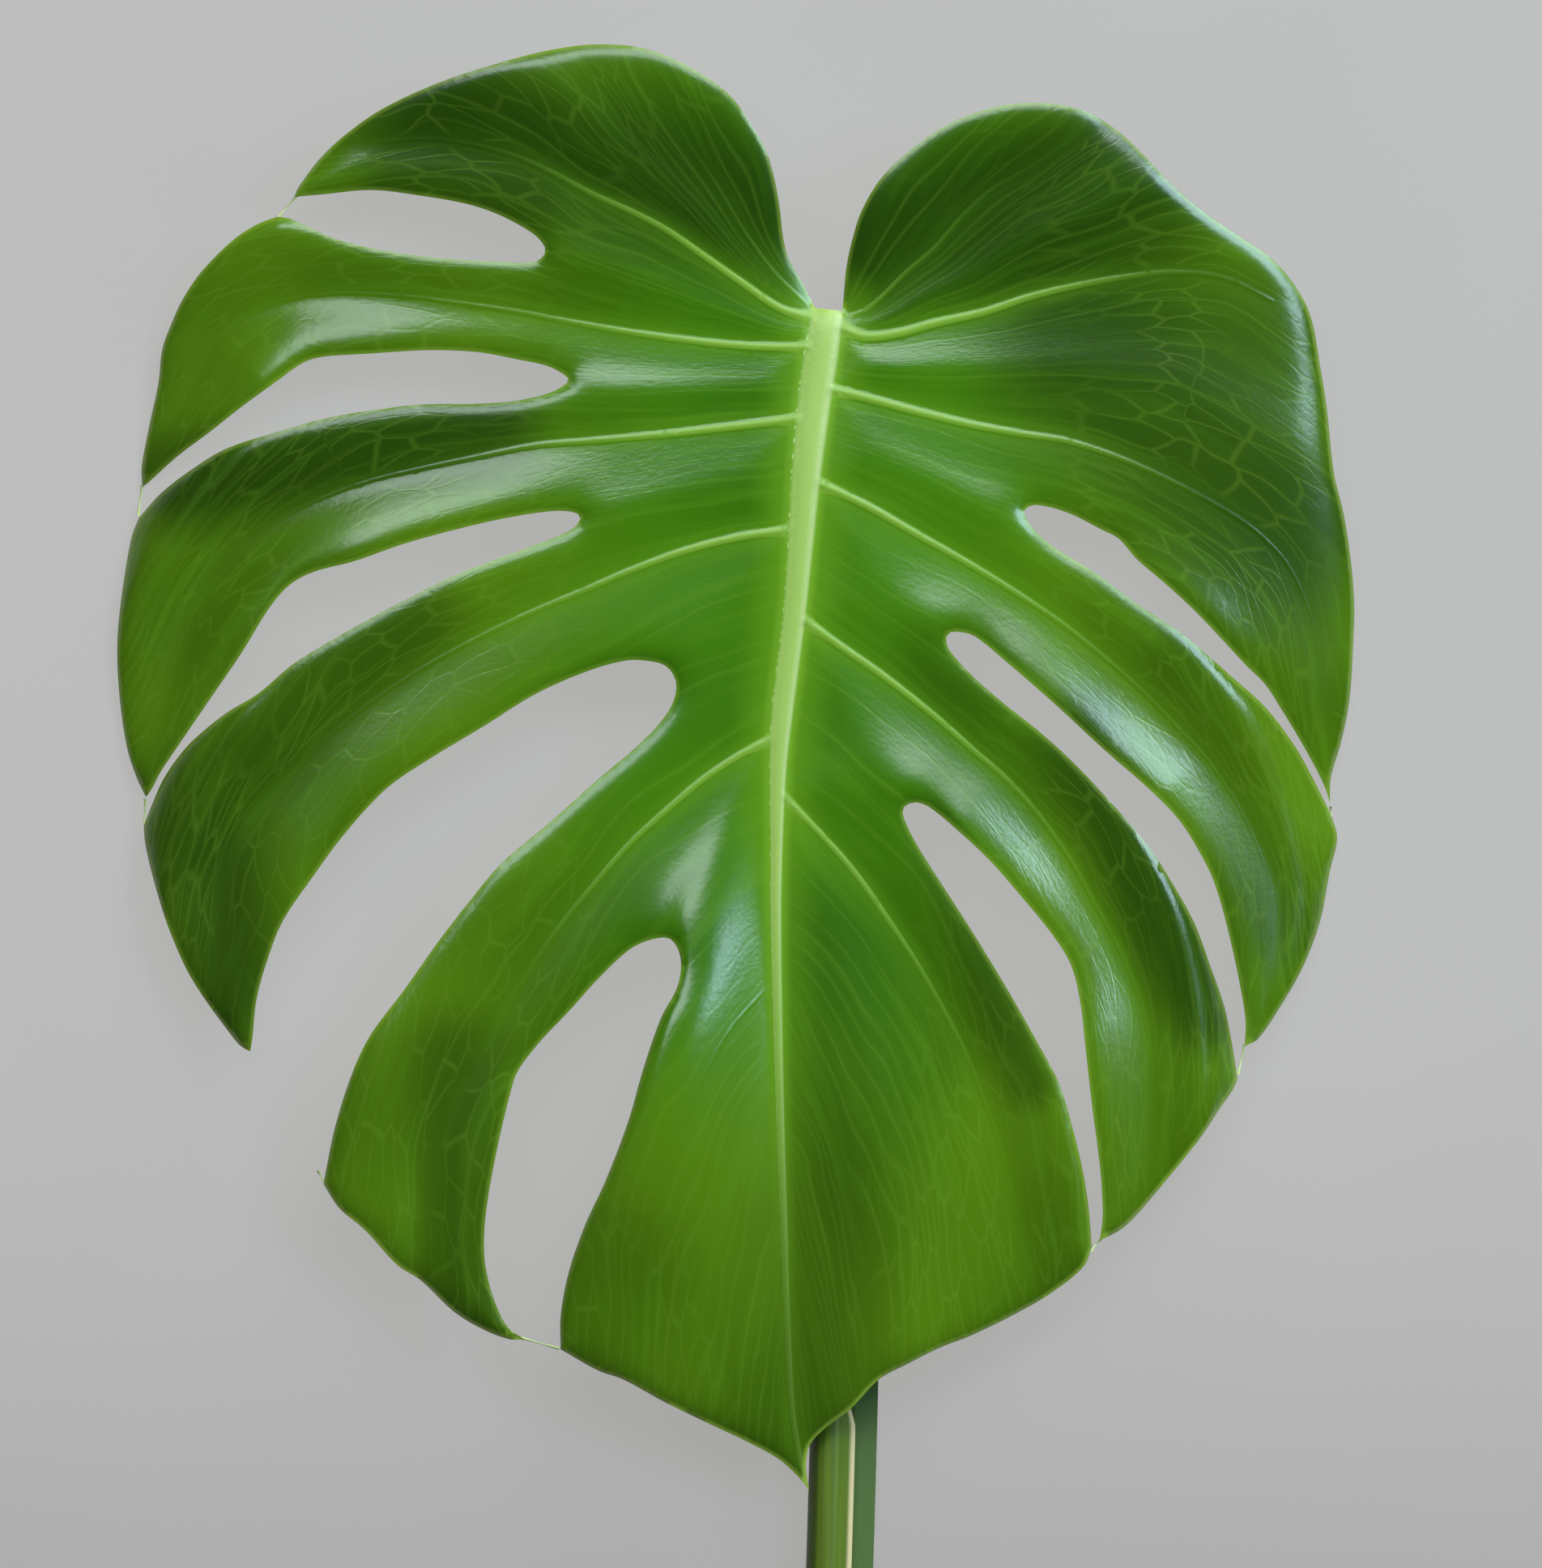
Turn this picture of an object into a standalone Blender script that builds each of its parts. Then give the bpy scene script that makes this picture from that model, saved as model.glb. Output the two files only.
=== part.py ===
"""A picked monstera leaf that lies face up: a cut, quilted blade on its stalk. Metres, +Z up.

The blade is drawn in leaf millimetres: x to the right, y towards the notch where the stalk joins,
with the notch at (0, 0). It is a height field over one set of triangles, used for both faces.
"""

import math

import bpy
import numpy as np
from mathutils.geometry import delaunay_2d_cdt

MM = 0.001

# The leaf's notch, from the middle of the part's footprint
NOTCH_X = 22.35
NOTCH_Y = 136.1

# Blade thickness, and the ribs under its veins
BLADE_THICKNESS = 0.85
MIDRIB_DEPTH = 2.2
VEIN_DEPTH = 0.6

# How the blade lies: heights of its upper face over the surface, along the midrib's y
SPINE = [
    (70.0, 33.0), (30.0, 26.3), (0.0, 22.8), (-40.0, 23.2), (-90.0, 22.6), (-150.0, 22.2),
    (-190.0, 21.6), (-215.0, 20.2), (-260.0, 16.6), (-290.0, 13.8), (-300.0, 12.8),
]
# Heights of its margins, along y, at the left and at the right
MARGINS = [
    (70.0, 4.0, 16.0), (20.0, 0.0, 13.0), (-40.0, -0.9, 9.5), (-90.0, 0.4, 5.0),
    (-120.0, 1.6, 0.0), (-150.0, 2.0, -0.5), (-230.0, 2.0, 1.0), (-300.0, 2.0, 2.0),
]
LEFT_REACH = 177.0
RIGHT_REACH = 132.0
CAMBER_POWER = 3.2

# The quilting: the blade rises from each vein and rolls down at its margin
QUILT_REACH = 34.0
VALLEY_RADIUS = 2.6
ROLL_DROP = 1.8
ROLL_REACH = 3.0
BLEND_POWER = 4.0
# How steeply it rises from each side vein, near the midrib, halfway and far out: first towards
# the notch, then towards the tip
SLOPE_PLACES = [15.0, 60.0, 120.0]
LEFT_SLOPES = [
    ([0.10, 0.10, 0.10], [0.05, 0.05, 0.05]),
    ([0.12, 0.14, 0.15], [0.08, 0.15, 0.25]),
    ([0.10, 0.20, 0.25], [0.08, 0.40, 0.58]),
    ([0.08, 0.25, 0.25], [0.08, 0.45, 0.42]),
    ([0.08, 0.25, 0.30], [0.06, 0.10, 0.14]),
    ([0.10, 0.20, 0.25], [0.16, 0.30, 0.22]),
]
RIGHT_SLOPES = [
    ([0.15, 0.15, 0.15], [0.06, 0.08, 0.25]),
    ([0.20, 0.18, 0.12], [0.20, 0.06, 0.00]),
    ([0.16, 0.10, 0.02], [0.06, 0.05, 0.04]),
    ([0.10, 0.22, 0.30], [0.08, 0.28, 0.42]),
    ([0.12, 0.40, 0.45], [0.12, 0.48, 0.42]),
    ([0.20, 0.35, 0.35], [0.06, 0.10, 0.12]),
]
# How steeply it rises from the midrib, at y, to the left and to the right, and how far it does
MIDRIB_SLOPES = [
    (0.0, 0.10, 0.12), (-60.0, 0.08, 0.08), (-110.0, 0.10, 0.06), (-140.0, 0.38, 0.10),
    (-170.0, 0.64, 0.22), (-200.0, 0.62, 0.35), (-230.0, 0.40, 0.42), (-260.0, 0.25, 0.40),
    (-290.0, 0.15, 0.30),
]
MIDRIB_LEFT_REACH = 34.0
MIDRIB_RIGHT_REACH = 12.0

# Raised veins on the upper face: how high, and half their width where they start
MIDRIB_RISE = 1.0
VEIN_RISE = 0.5
LEFT_HALF_WIDTHS = [0.8, 1.1, 1.1, 1.15, 1.1, 0.95, 0.4]
RIGHT_HALF_WIDTHS = [0.8, 1.3, 1.2, 1.15, 1.1, 0.9, 0.4]
VEIN_REACH = 165.0

# Spacing of the blade's points
EDGE_STEP = 6.0
EDGE_TOLERANCE = 0.2
VEIN_STEP = 7.0
VEIN_ROW = 1.1
PAST_VEIN = 60.0
GRID_STEP = 7.6

# The flat seat under the blade where the stalk carries it
SEAT_Y = -5.4
SEAT_RADIUS = 4.2
SEAT_HEIGHT = 19.5
SEAT_GAP = 0.3

# The stalk: its radii, and its axis along the surface as x, y
STALK_RADIUS = 4.8
JOINT_RADIUS = 5.3
JOINT_TOP_RADIUS = 3.9
BEND_RADIUS = 12.0
STALK_FLAT = 0.25
STALK_SIDES = 24
STALK_RINGS = 30
STALK_LINE = [
    (0.0, -20.4), (0.6, -60.0), (1.0, -120.0), (1.5, -190.0), (1.4, -240.0), (1.1, -262.0),
    (0.6, -283.0), (-0.2, -310.0), (-1.2, -338.0),
]

# The sheath's wings at the stalk's right: where each starts and is full, and the corners of
# its section by the side of the ring that they replace, across and up from the stalk's axis
LOWER_WING_Y = (-120.0, -215.0)
LOWER_WING = {22: (11.6, -2.9), 23: (11.8, -1.9), 0: (5.0, -1.2)}
UPPER_WING_Y = (-267.0, -275.0)
UPPER_WING = {1: (6.3, 0.4), 2: (6.4, 1.5), 3: (3.6, 3.3)}

# Outline of the blade: smooth runs between its corners, clockwise from the notch
NOTCH_LEFT = (-2.7, 1.1)
NOTCH_RIGHT = (3.9, 0.4)

LOBE_1_LEFT = [
    NOTCH_LEFT, (-6.2, 8.0), (-9.2, 13.2), (-10.6, 18.4), (-11.4, 25.4), (-12.6, 32.2),
    (-14.6, 39.2), (-18.2, 45.8), (-23.8, 53.4), (-32.4, 59.6), (-44.0, 64.6), (-56.0, 65.8),
    (-68.0, 64.4), (-84.0, 60.2), (-96.0, 56.2), (-108.0, 50.8), (-116.0, 45.7), (-124.0, 38.8),
    (-130.0, 31.0), (-131.0, 28.6),
]
SLOT_1_LEFT = [
    (-131.0, 28.6), (-124.0, 29.2), (-112.0, 30.2), (-100.0, 28.8), (-88.0, 26.6), (-80.0, 23.8),
    (-72.0, 19.3), (-69.4, 16.4), (-69.2, 14.6), (-70.6, 13.0), (-73.0, 12.3), (-84.0, 12.7),
    (-96.0, 13.6), (-108.0, 15.2), (-120.0, 18.0), (-128.0, 21.4), (-132.6, 23.4), (-135.4, 23.7),
]
LOBE_2_LEFT = [
    (-135.4, 23.7), (-140.0, 22.0), (-146.0, 18.2), (-154.0, 10.4), (-158.6, 3.8), (-161.2, -1.6),
    (-163.8, -8.6), (-164.8, -17.0), (-167.0, -27.2), (-169.0, -37.8), (-168.8, -42.6),
]
SLOT_2_LEFT = [
    (-168.8, -42.6), (-167.6, -41.8), (-160.0, -35.1), (-152.0, -29.2), (-144.0, -23.0),
    (-135.8, -17.1), (-128.8, -12.2), (-124.0, -10.8), (-112.0, -10.0), (-98.0, -9.2),
    (-85.8, -9.7), (-76.0, -11.5), (-68.4, -13.2), (-64.0, -15.6), (-63.3, -16.6), (-64.4, -17.8),
    (-68.0, -19.7), (-76.0, -21.6), (-86.0, -22.4), (-100.0, -22.6), (-112.0, -24.0),
    (-124.0, -26.1), (-136.0, -29.5), (-148.0, -33.4), (-156.0, -38.1), (-164.0, -44.1),
    (-169.6, -50.2),
]
LOBE_3_LEFT = [
    (-169.6, -50.2), (-171.4, -54.8), (-173.4, -66.0), (-174.6, -75.6), (-175.0, -82.6),
    (-174.8, -89.4), (-174.0, -98.4), (-172.4, -107.8), (-170.2, -114.4), (-167.9, -119.2),
]
SLOT_3_LEFT = [
    (-167.9, -119.2), (-166.4, -117.2), (-164.2, -113.0), (-160.0, -106.8), (-152.0, -95.2),
    (-144.0, -83.6), (-137.1, -72.5), (-132.0, -66.8), (-126.0, -63.7), (-116.0, -61.1),
    (-104.0, -56.9), (-92.0, -53.6), (-80.0, -50.8), (-68.0, -48.9), (-62.2, -49.1),
    (-60.4, -50.3), (-62.2, -53.0), (-68.0, -55.8), (-80.0, -60.2), (-92.0, -64.9),
    (-104.0, -70.8), (-112.0, -75.1), (-124.0, -81.9), (-132.0, -87.0), (-140.0, -93.8),
    (-148.0, -98.6), (-156.0, -105.1), (-160.0, -109.6), (-163.6, -115.0), (-166.4, -121.2),
    (-168.4, -126.4),
]
LOBE_4_LEFT = [
    (-168.4, -126.4), (-168.0, -131.0), (-165.4, -141.4), (-162.2, -151.4), (-157.6, -162.0),
    (-153.0, -169.4), (-146.8, -177.8), (-144.4, -180.6), (-142.0, -181.9),
]
SLOT_4_LEFT = [
    (-142.0, -181.9), (-141.4, -178.2), (-140.4, -169.0), (-137.6, -159.0), (-133.8, -149.6),
    (-126.0, -138.2), (-120.0, -130.0), (-113.0, -121.8), (-106.8, -115.9), (-96.0, -108.8),
    (-84.0, -101.6), (-72.0, -94.1), (-60.0, -88.7), (-49.8, -85.7), (-44.0, -85.7),
    (-39.4, -87.0), (-37.0, -90.8), (-37.6, -95.6), (-40.8, -100.8), (-47.8, -107.8),
    (-56.0, -114.7), (-68.0, -125.4), (-80.0, -135.6), (-86.8, -143.6), (-95.2, -154.4),
    (-104.0, -166.8), (-112.2, -177.8), (-116.8, -187.4), (-121.0, -200.6), (-123.4, -212.2),
    (-123.8, -214.6),
]
LOBE_5_LEFT = [
    (-123.8, -214.6), (-120.0, -220.4), (-113.6, -225.9), (-105.6, -234.6), (-100.0, -238.2),
    (-91.6, -246.1), (-84.0, -250.6), (-77.8, -252.8), (-74.4, -252.7),
]
SLOT_5_LEFT = [
    (-74.4, -252.7), (-78.6, -249.6), (-82.0, -242.4), (-84.0, -234.0), (-84.2, -226.4),
    (-83.2, -217.4), (-80.8, -204.8), (-77.8, -192.2), (-76.0, -186.8), (-70.6, -179.6),
    (-63.4, -172.0), (-56.0, -163.8), (-48.2, -156.6), (-42.4, -154.1), (-38.2, -154.2),
    (-35.8, -159.0), (-36.6, -165.8), (-40.6, -173.4), (-45.0, -186.0), (-48.6, -198.6),
    (-54.4, -213.8), (-59.4, -224.6), (-63.4, -236.2), (-65.4, -247.0), (-65.4, -255.2),
]
CENTRAL_LEFT = [
    (-65.4, -255.2), (-56.2, -260.4), (-50.0, -262.6), (-40.0, -268.1), (-28.4, -273.8),
    (-20.0, -277.8), (-12.0, -282.2), (-7.2, -286.4), (-4.2, -290.0),
]
CENTRAL_RIGHT = [
    (-4.2, -290.0), (-5.0, -284.2), (-4.0, -278.8), (0.0, -274.5), (6.0, -269.9), (13.0, -262.6),
    (20.0, -258.8), (28.0, -254.8), (36.0, -251.7), (48.0, -245.8), (56.0, -241.0),
    (63.6, -234.6), (65.4, -230.0),
]
SLOT_3_RIGHT = [
    (65.4, -230.0), (64.6, -220.4), (63.2, -211.4), (60.4, -199.8), (57.2, -189.4),
    (52.2, -180.0), (44.8, -166.9), (36.6, -153.4), (28.4, -140.6), (22.2, -130.8),
    (19.0, -124.2), (18.8, -122.4), (19.6, -121.2), (22.0, -120.5), (25.2, -121.6),
    (31.6, -126.8), (40.0, -134.6), (48.0, -143.7), (56.2, -153.8), (60.4, -161.0),
    (62.6, -170.2), (63.8, -180.8), (65.4, -194.8), (67.4, -210.4), (68.1, -221.8),
    (67.4, -228.4),
]
LOBE_4_RIGHT = [
    (67.4, -228.4), (72.2, -226.0), (76.0, -222.7), (83.4, -214.1), (92.0, -203.4),
    (97.8, -194.8), (100.2, -191.5), (101.4, -188.6),
]
SLOT_2_RIGHT = [
    (101.4, -188.6), (100.2, -180.8), (98.2, -171.0), (94.8, -161.2), (90.8, -150.5),
    (85.8, -141.4), (79.2, -131.2), (69.4, -119.8), (60.4, -110.3), (52.2, -102.9),
    (44.0, -96.4), (36.0, -89.4), (30.4, -83.2), (29.4, -80.4), (30.2, -78.8), (33.0, -78.6),
    (36.6, -79.7), (44.0, -85.7), (56.2, -96.3), (68.2, -107.4), (80.0, -117.7),
    (87.0, -125.0), (92.0, -132.8), (95.6, -140.2), (98.6, -150.2), (101.8, -164.4),
    (103.4, -174.2), (103.2, -180.6),
]
LOBE_3_RIGHT = [
    (103.2, -180.6), (106.4, -179.0), (112.0, -171.0), (117.8, -160.8), (122.0, -149.6),
    (124.4, -137.4), (126.2, -129.2), (124.6, -123.4),
]
SLOT_1_RIGHT = [
    (124.6, -123.4), (119.8, -114.0), (115.6, -106.6), (108.4, -97.2), (100.2, -89.8),
    (88.2, -79.5), (76.0, -71.3), (65.4, -63.5), (56.2, -57.8), (50.6, -52.8), (48.6, -49.2),
    (49.4, -47.9), (52.0, -47.3), (59.6, -49.3), (67.8, -53.4), (72.0, -55.6), (76.4, -60.6),
    (83.4, -66.6), (91.6, -74.2), (103.8, -87.1), (108.2, -91.4), (111.9, -97.0),
    (118.0, -107.0), (122.8, -116.0), (124.4, -120.6),
]
LOBE_1_RIGHT = [
    (124.4, -120.6), (124.6, -114.4), (127.2, -105.4), (129.2, -95.0), (130.1, -80.4),
    (130.3, -71.4), (129.4, -60.6), (127.6, -49.2), (125.2, -39.3), (123.4, -23.2),
    (121.8, -13.2), (119.4, -0.8), (115.4, 6.9), (109.4, 13.6), (101.4, 19.0), (93.4, 24.4),
    (84.8, 31.6), (77.6, 39.2), (71.8, 44.6), (64.2, 49.2), (55.2, 51.3), (45.8, 51.2),
    (36.0, 48.8), (27.8, 45.0), (19.4, 38.8), (13.4, 32.9), (8.6, 24.8), (6.2, 17.2),
    (4.9, 10.8), (4.2, 3.2), NOTCH_RIGHT,
]
OUTLINE = [
    LOBE_1_LEFT, SLOT_1_LEFT, LOBE_2_LEFT, SLOT_2_LEFT, LOBE_3_LEFT, SLOT_3_LEFT, LOBE_4_LEFT,
    SLOT_4_LEFT, LOBE_5_LEFT, SLOT_5_LEFT, CENTRAL_LEFT, CENTRAL_RIGHT, SLOT_3_RIGHT,
    LOBE_4_RIGHT, SLOT_2_RIGHT, LOBE_3_RIGHT, SLOT_1_RIGHT, LOBE_1_RIGHT,
    [NOTCH_RIGHT, (0.6, 0.8), NOTCH_LEFT],
]

# Midrib: x, y and its half width
MIDRIB = [
    (0.4, -0.4, 3.4), (-1.2, -10.4, 3.8), (-2.8, -21.4, 3.7), (-5.2, -43.0, 3.2),
    (-6.0, -53.6, 2.9), (-8.0, -76.0, 2.5), (-10.8, -98.4, 2.4), (-11.8, -111.6, 1.9),
    (-12.2, -129.6, 1.4), (-12.4, -147.4, 1.2), (-11.8, -179.8, 1.0), (-11.2, -202.8, 0.9),
    (-10.4, -225.6, 0.8), (-9.6, -248.6, 0.7), (-8.2, -271.6, 0.6), (-5.6, -286.0, 0.5),
]

# Side veins, from the midrib out
LEFT_VEINS = [
    [(-4.6, 1.8), (-12.6, 9.8), (-19.8, 19.6), (-26.8, 31.2), (-34.0, 41.8), (-39.4, 50.8)],
    [
        (-3.6, -1.2), (-10.8, 0.8), (-21.6, 8.0), (-30.4, 14.2), (-39.4, 20.4), (-48.2, 25.0),
        (-57.2, 29.0), (-66.2, 33.8), (-72.4, 36.8), (-81.4, 40.0), (-96.0, 42.6),
        (-110.0, 42.0),
    ],
    [
        (-5.0, -8.6), (-21.6, -8.0), (-39.4, -6.0), (-52.8, -4.0), (-66.2, -1.6), (-76.8, 0.4),
        (-94.8, 3.0), (-108.0, 4.4), (-121.6, 4.8), (-135.0, 2.6), (-149.0, -5.0),
        (-157.0, -18.0),
    ],
    [
        (-6.4, -26.0), (-21.6, -27.8), (-39.4, -29.8), (-57.2, -31.4), (-71.6, -32.6),
        (-85.8, -35.4), (-99.2, -38.2), (-112.6, -41.4), (-126.0, -46.4), (-137.6, -52.8),
        (-147.0, -61.0), (-156.0, -74.0), (-162.0, -92.0),
    ],
    [
        (-10.0, -53.6), (-21.6, -55.2), (-35.0, -58.6), (-48.2, -63.4), (-59.0, -68.0),
        (-76.0, -75.2), (-94.8, -84.8), (-108.0, -93.0), (-121.6, -103.6), (-130.4, -112.6),
        (-141.2, -124.0), (-148.0, -138.0), (-149.0, -156.0),
    ],
    [
        (-14.0, -105.2), (-21.6, -109.0), (-30.4, -114.8), (-39.4, -122.4), (-48.2, -130.4),
        (-56.8, -140.2), (-66.4, -152.0), (-76.8, -167.6), (-85.0, -181.0), (-92.2, -194.2),
        (-98.0, -210.0), (-99.0, -226.0),
    ],
    [
        (-14.4, -166.0), (-23.6, -176.4), (-30.6, -189.0), (-38.0, -206.0), (-44.0, -228.0),
        (-46.0, -246.0),
    ],
]
RIGHT_VEINS = [
    [
        (4.4, -1.2), (9.4, 0.6), (13.8, 4.2), (20.0, 10.4), (26.4, 15.8), (33.4, 23.8),
        (40.6, 30.2), (49.6, 35.4), (60.0, 42.0),
    ],
    [
        (4.0, -3.8), (9.4, -5.8), (16.6, -5.2), (27.2, -2.4), (38.8, 0.2), (49.6, 3.8),
        (60.2, 6.4), (72.0, 8.6), (85.2, 10.0), (98.0, 8.6), (110.0, 3.0),
    ],
    [
        (1.4, -19.0), (9.4, -20.8), (22.8, -24.4), (36.2, -27.6), (49.6, -30.0), (59.6, -31.6),
        (73.0, -36.0), (85.8, -41.8), (99.0, -49.0), (107.2, -54.8), (114.4, -63.0),
        (120.4, -78.0), (122.6, -94.0),
    ],
    [
        (-1.0, -42.4), (9.8, -47.4), (23.2, -55.0), (36.6, -62.6), (50.0, -71.0), (60.0, -78.0),
        (70.0, -86.2), (78.2, -93.6), (86.4, -102.0), (94.8, -111.2), (104.0, -126.0),
        (110.0, -142.4), (110.4, -158.0),
    ],
    [
        (-6.0, -75.4), (5.2, -83.2), (14.2, -89.4), (27.6, -100.0), (36.6, -108.0),
        (44.0, -114.4), (51.6, -122.8), (59.6, -134.0), (65.8, -145.2), (73.0, -158.6),
        (78.0, -171.8), (80.0, -184.0), (80.6, -202.0),
    ],
    [
        (-9.8, -119.8), (-2.0, -127.6), (6.6, -137.2), (15.0, -149.0), (22.0, -159.6),
        (29.0, -171.8), (34.2, -182.0), (38.2, -192.2), (42.4, -204.4), (47.0, -222.4),
    ],
    [(-10.6, -172.0), (-3.0, -188.4), (4.0, -206.4), (9.0, -226.4), (11.0, -246.4)],
]


def clear_scene():
    for old in list(bpy.data.objects):
        bpy.data.objects.remove(old, do_unlink=True)


def smooth_run(points, step):
    """A smooth curve through the points, with about one point every step millimetres."""
    known = np.array(points, float)
    padded = np.vstack([2 * known[0] - known[1], known, 2 * known[-1] - known[-2]])
    found = []
    for before, start, end, after in zip(padded, padded[1:], padded[2:], padded[3:]):
        gap = np.linalg.norm(end[:2] - start[:2])
        parts = max(2, math.ceil(gap / step))
        gap_before = np.linalg.norm(start[:2] - before[:2])
        gap_after = np.linalg.norm(after[:2] - end[:2])
        way_in = gap * (end - before) / (gap + gap_before)
        way_out = gap * (after - start) / (gap + gap_after)
        for t in np.arange(parts) / parts:
            found.append(
                (2 * t**3 - 3 * t**2 + 1) * start
                + (t**3 - 2 * t**2 + t) * way_in
                + (3 * t**2 - 2 * t**3) * end
                + (t**3 - t**2) * way_out
            )
    return np.array(found + [known[-1]])


def even_run(points, step):
    """Points along a smooth curve, evenly spaced."""
    fine = smooth_run(points, step / 12)
    along = np.append(0, np.cumsum(np.linalg.norm(np.diff(fine[:, :2], axis=0), axis=1)))
    places = np.linspace(0, along[-1], max(2, round(along[-1] / step) + 1))
    return np.column_stack([np.interp(places, along, column) for column in fine.T])


def thinned(points, tolerance, step):
    """The fewest of a run's points that stay within the tolerance, none over a step apart."""
    start, end = points[0], points[-1]
    if len(points) < 3:
        return [start]
    line = end - start
    span = np.linalg.norm(line)
    off = np.abs((points[:, 0] - start[0]) * line[1] - (points[:, 1] - start[1]) * line[0])
    off = off / max(span, 1e-9)
    middle = int(off.argmax())
    if off[middle] <= tolerance:
        if span <= step:
            return [start]
        middle = len(points) // 2
    middle = min(max(middle, 1), len(points) - 2)
    first = thinned(points[: middle + 1], tolerance, step)
    return first + thinned(points[middle:], tolerance, step)


def outline_points(tolerance, step):
    loop = []
    for run in OUTLINE:
        loop += thinned(smooth_run(run, 0.4), tolerance, step)
    return np.array(loop)


def to_line(points, line):
    """Each point's distance to a line of points, how far along it the nearest place is, and
    on which side of it the point lies: 1 to its left and -1 to its right."""
    start = line[:-1, :2]
    way = line[1:, :2] - start
    length = np.linalg.norm(way, axis=1)
    before = np.append(0, np.cumsum(length))
    off = points[:, None, :2] - start
    share = (off * way).sum(axis=2) / length**2
    share = np.clip(share, 0, 1)
    away = np.linalg.norm(off - share[..., None] * way, axis=2)
    nearest = away.argmin(axis=1)
    rows = np.arange(len(points))
    turn = way[nearest, 0] * off[rows, nearest, 1] - way[nearest, 1] * off[rows, nearest, 0]
    along = before[nearest] + share[rows, nearest] * length[nearest]
    return away[rows, nearest], along, np.where(turn > 0, 1, -1)


def inside(points, loop):
    """Which points lie within the closed loop."""
    x, y = points[:, :1], points[:, 1:2]
    x1, y1 = loop[:, 0], loop[:, 1]
    x2, y2 = np.roll(x1, -1), np.roll(y1, -1)
    crosses = (y1 > y) != (y2 > y)
    rise = np.where(y2 == y1, 1, y2 - y1)
    return (crosses & (x < x1 + (y - y1) * (x2 - x1) / rise)).sum(axis=1) % 2 == 1


def rounded(distance, radius):
    return np.sqrt(distance**2 + radius**2) - radius


def faded(along, start, end):
    """1 up to start, 0 from end, smooth between them."""
    t = np.clip((along - start) / (end - start), 0, 1)
    return 1 - t * t * (3 - 2 * t)


class Leaf:
    """The blade's own lines: its midrib, its margin, and the side veins on each side."""

    def __init__(self):
        self.midrib = smooth_run(MIDRIB, 2.0)
        edge = outline_points(0.1, 3.0)
        self.edge = np.vstack([edge, edge[:1]])
        self.left = [self.stretched(vein) for vein in LEFT_VEINS]
        self.right = [self.stretched(vein) for vein in RIGHT_VEINS]

    def middle(self, y):
        return np.interp(-y, -self.midrib[:, 1], self.midrib[:, 0])

    def half(self, y):
        return np.interp(-y, -self.midrib[:, 1], self.midrib[:, 2])

    def stretched(self, vein):
        """A vein from the midrib's middle to well past the margin."""
        line = smooth_run(vein, 2.0)
        start_y = line[0, 1] + 2
        start = np.array([[self.middle(start_y), start_y]])
        way = line[-1] - line[-3]
        steps = np.linspace(0, PAST_VEIN, 12)[1:, None]
        return np.vstack([start, line, line[-1] + steps * way / np.linalg.norm(way)])


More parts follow.
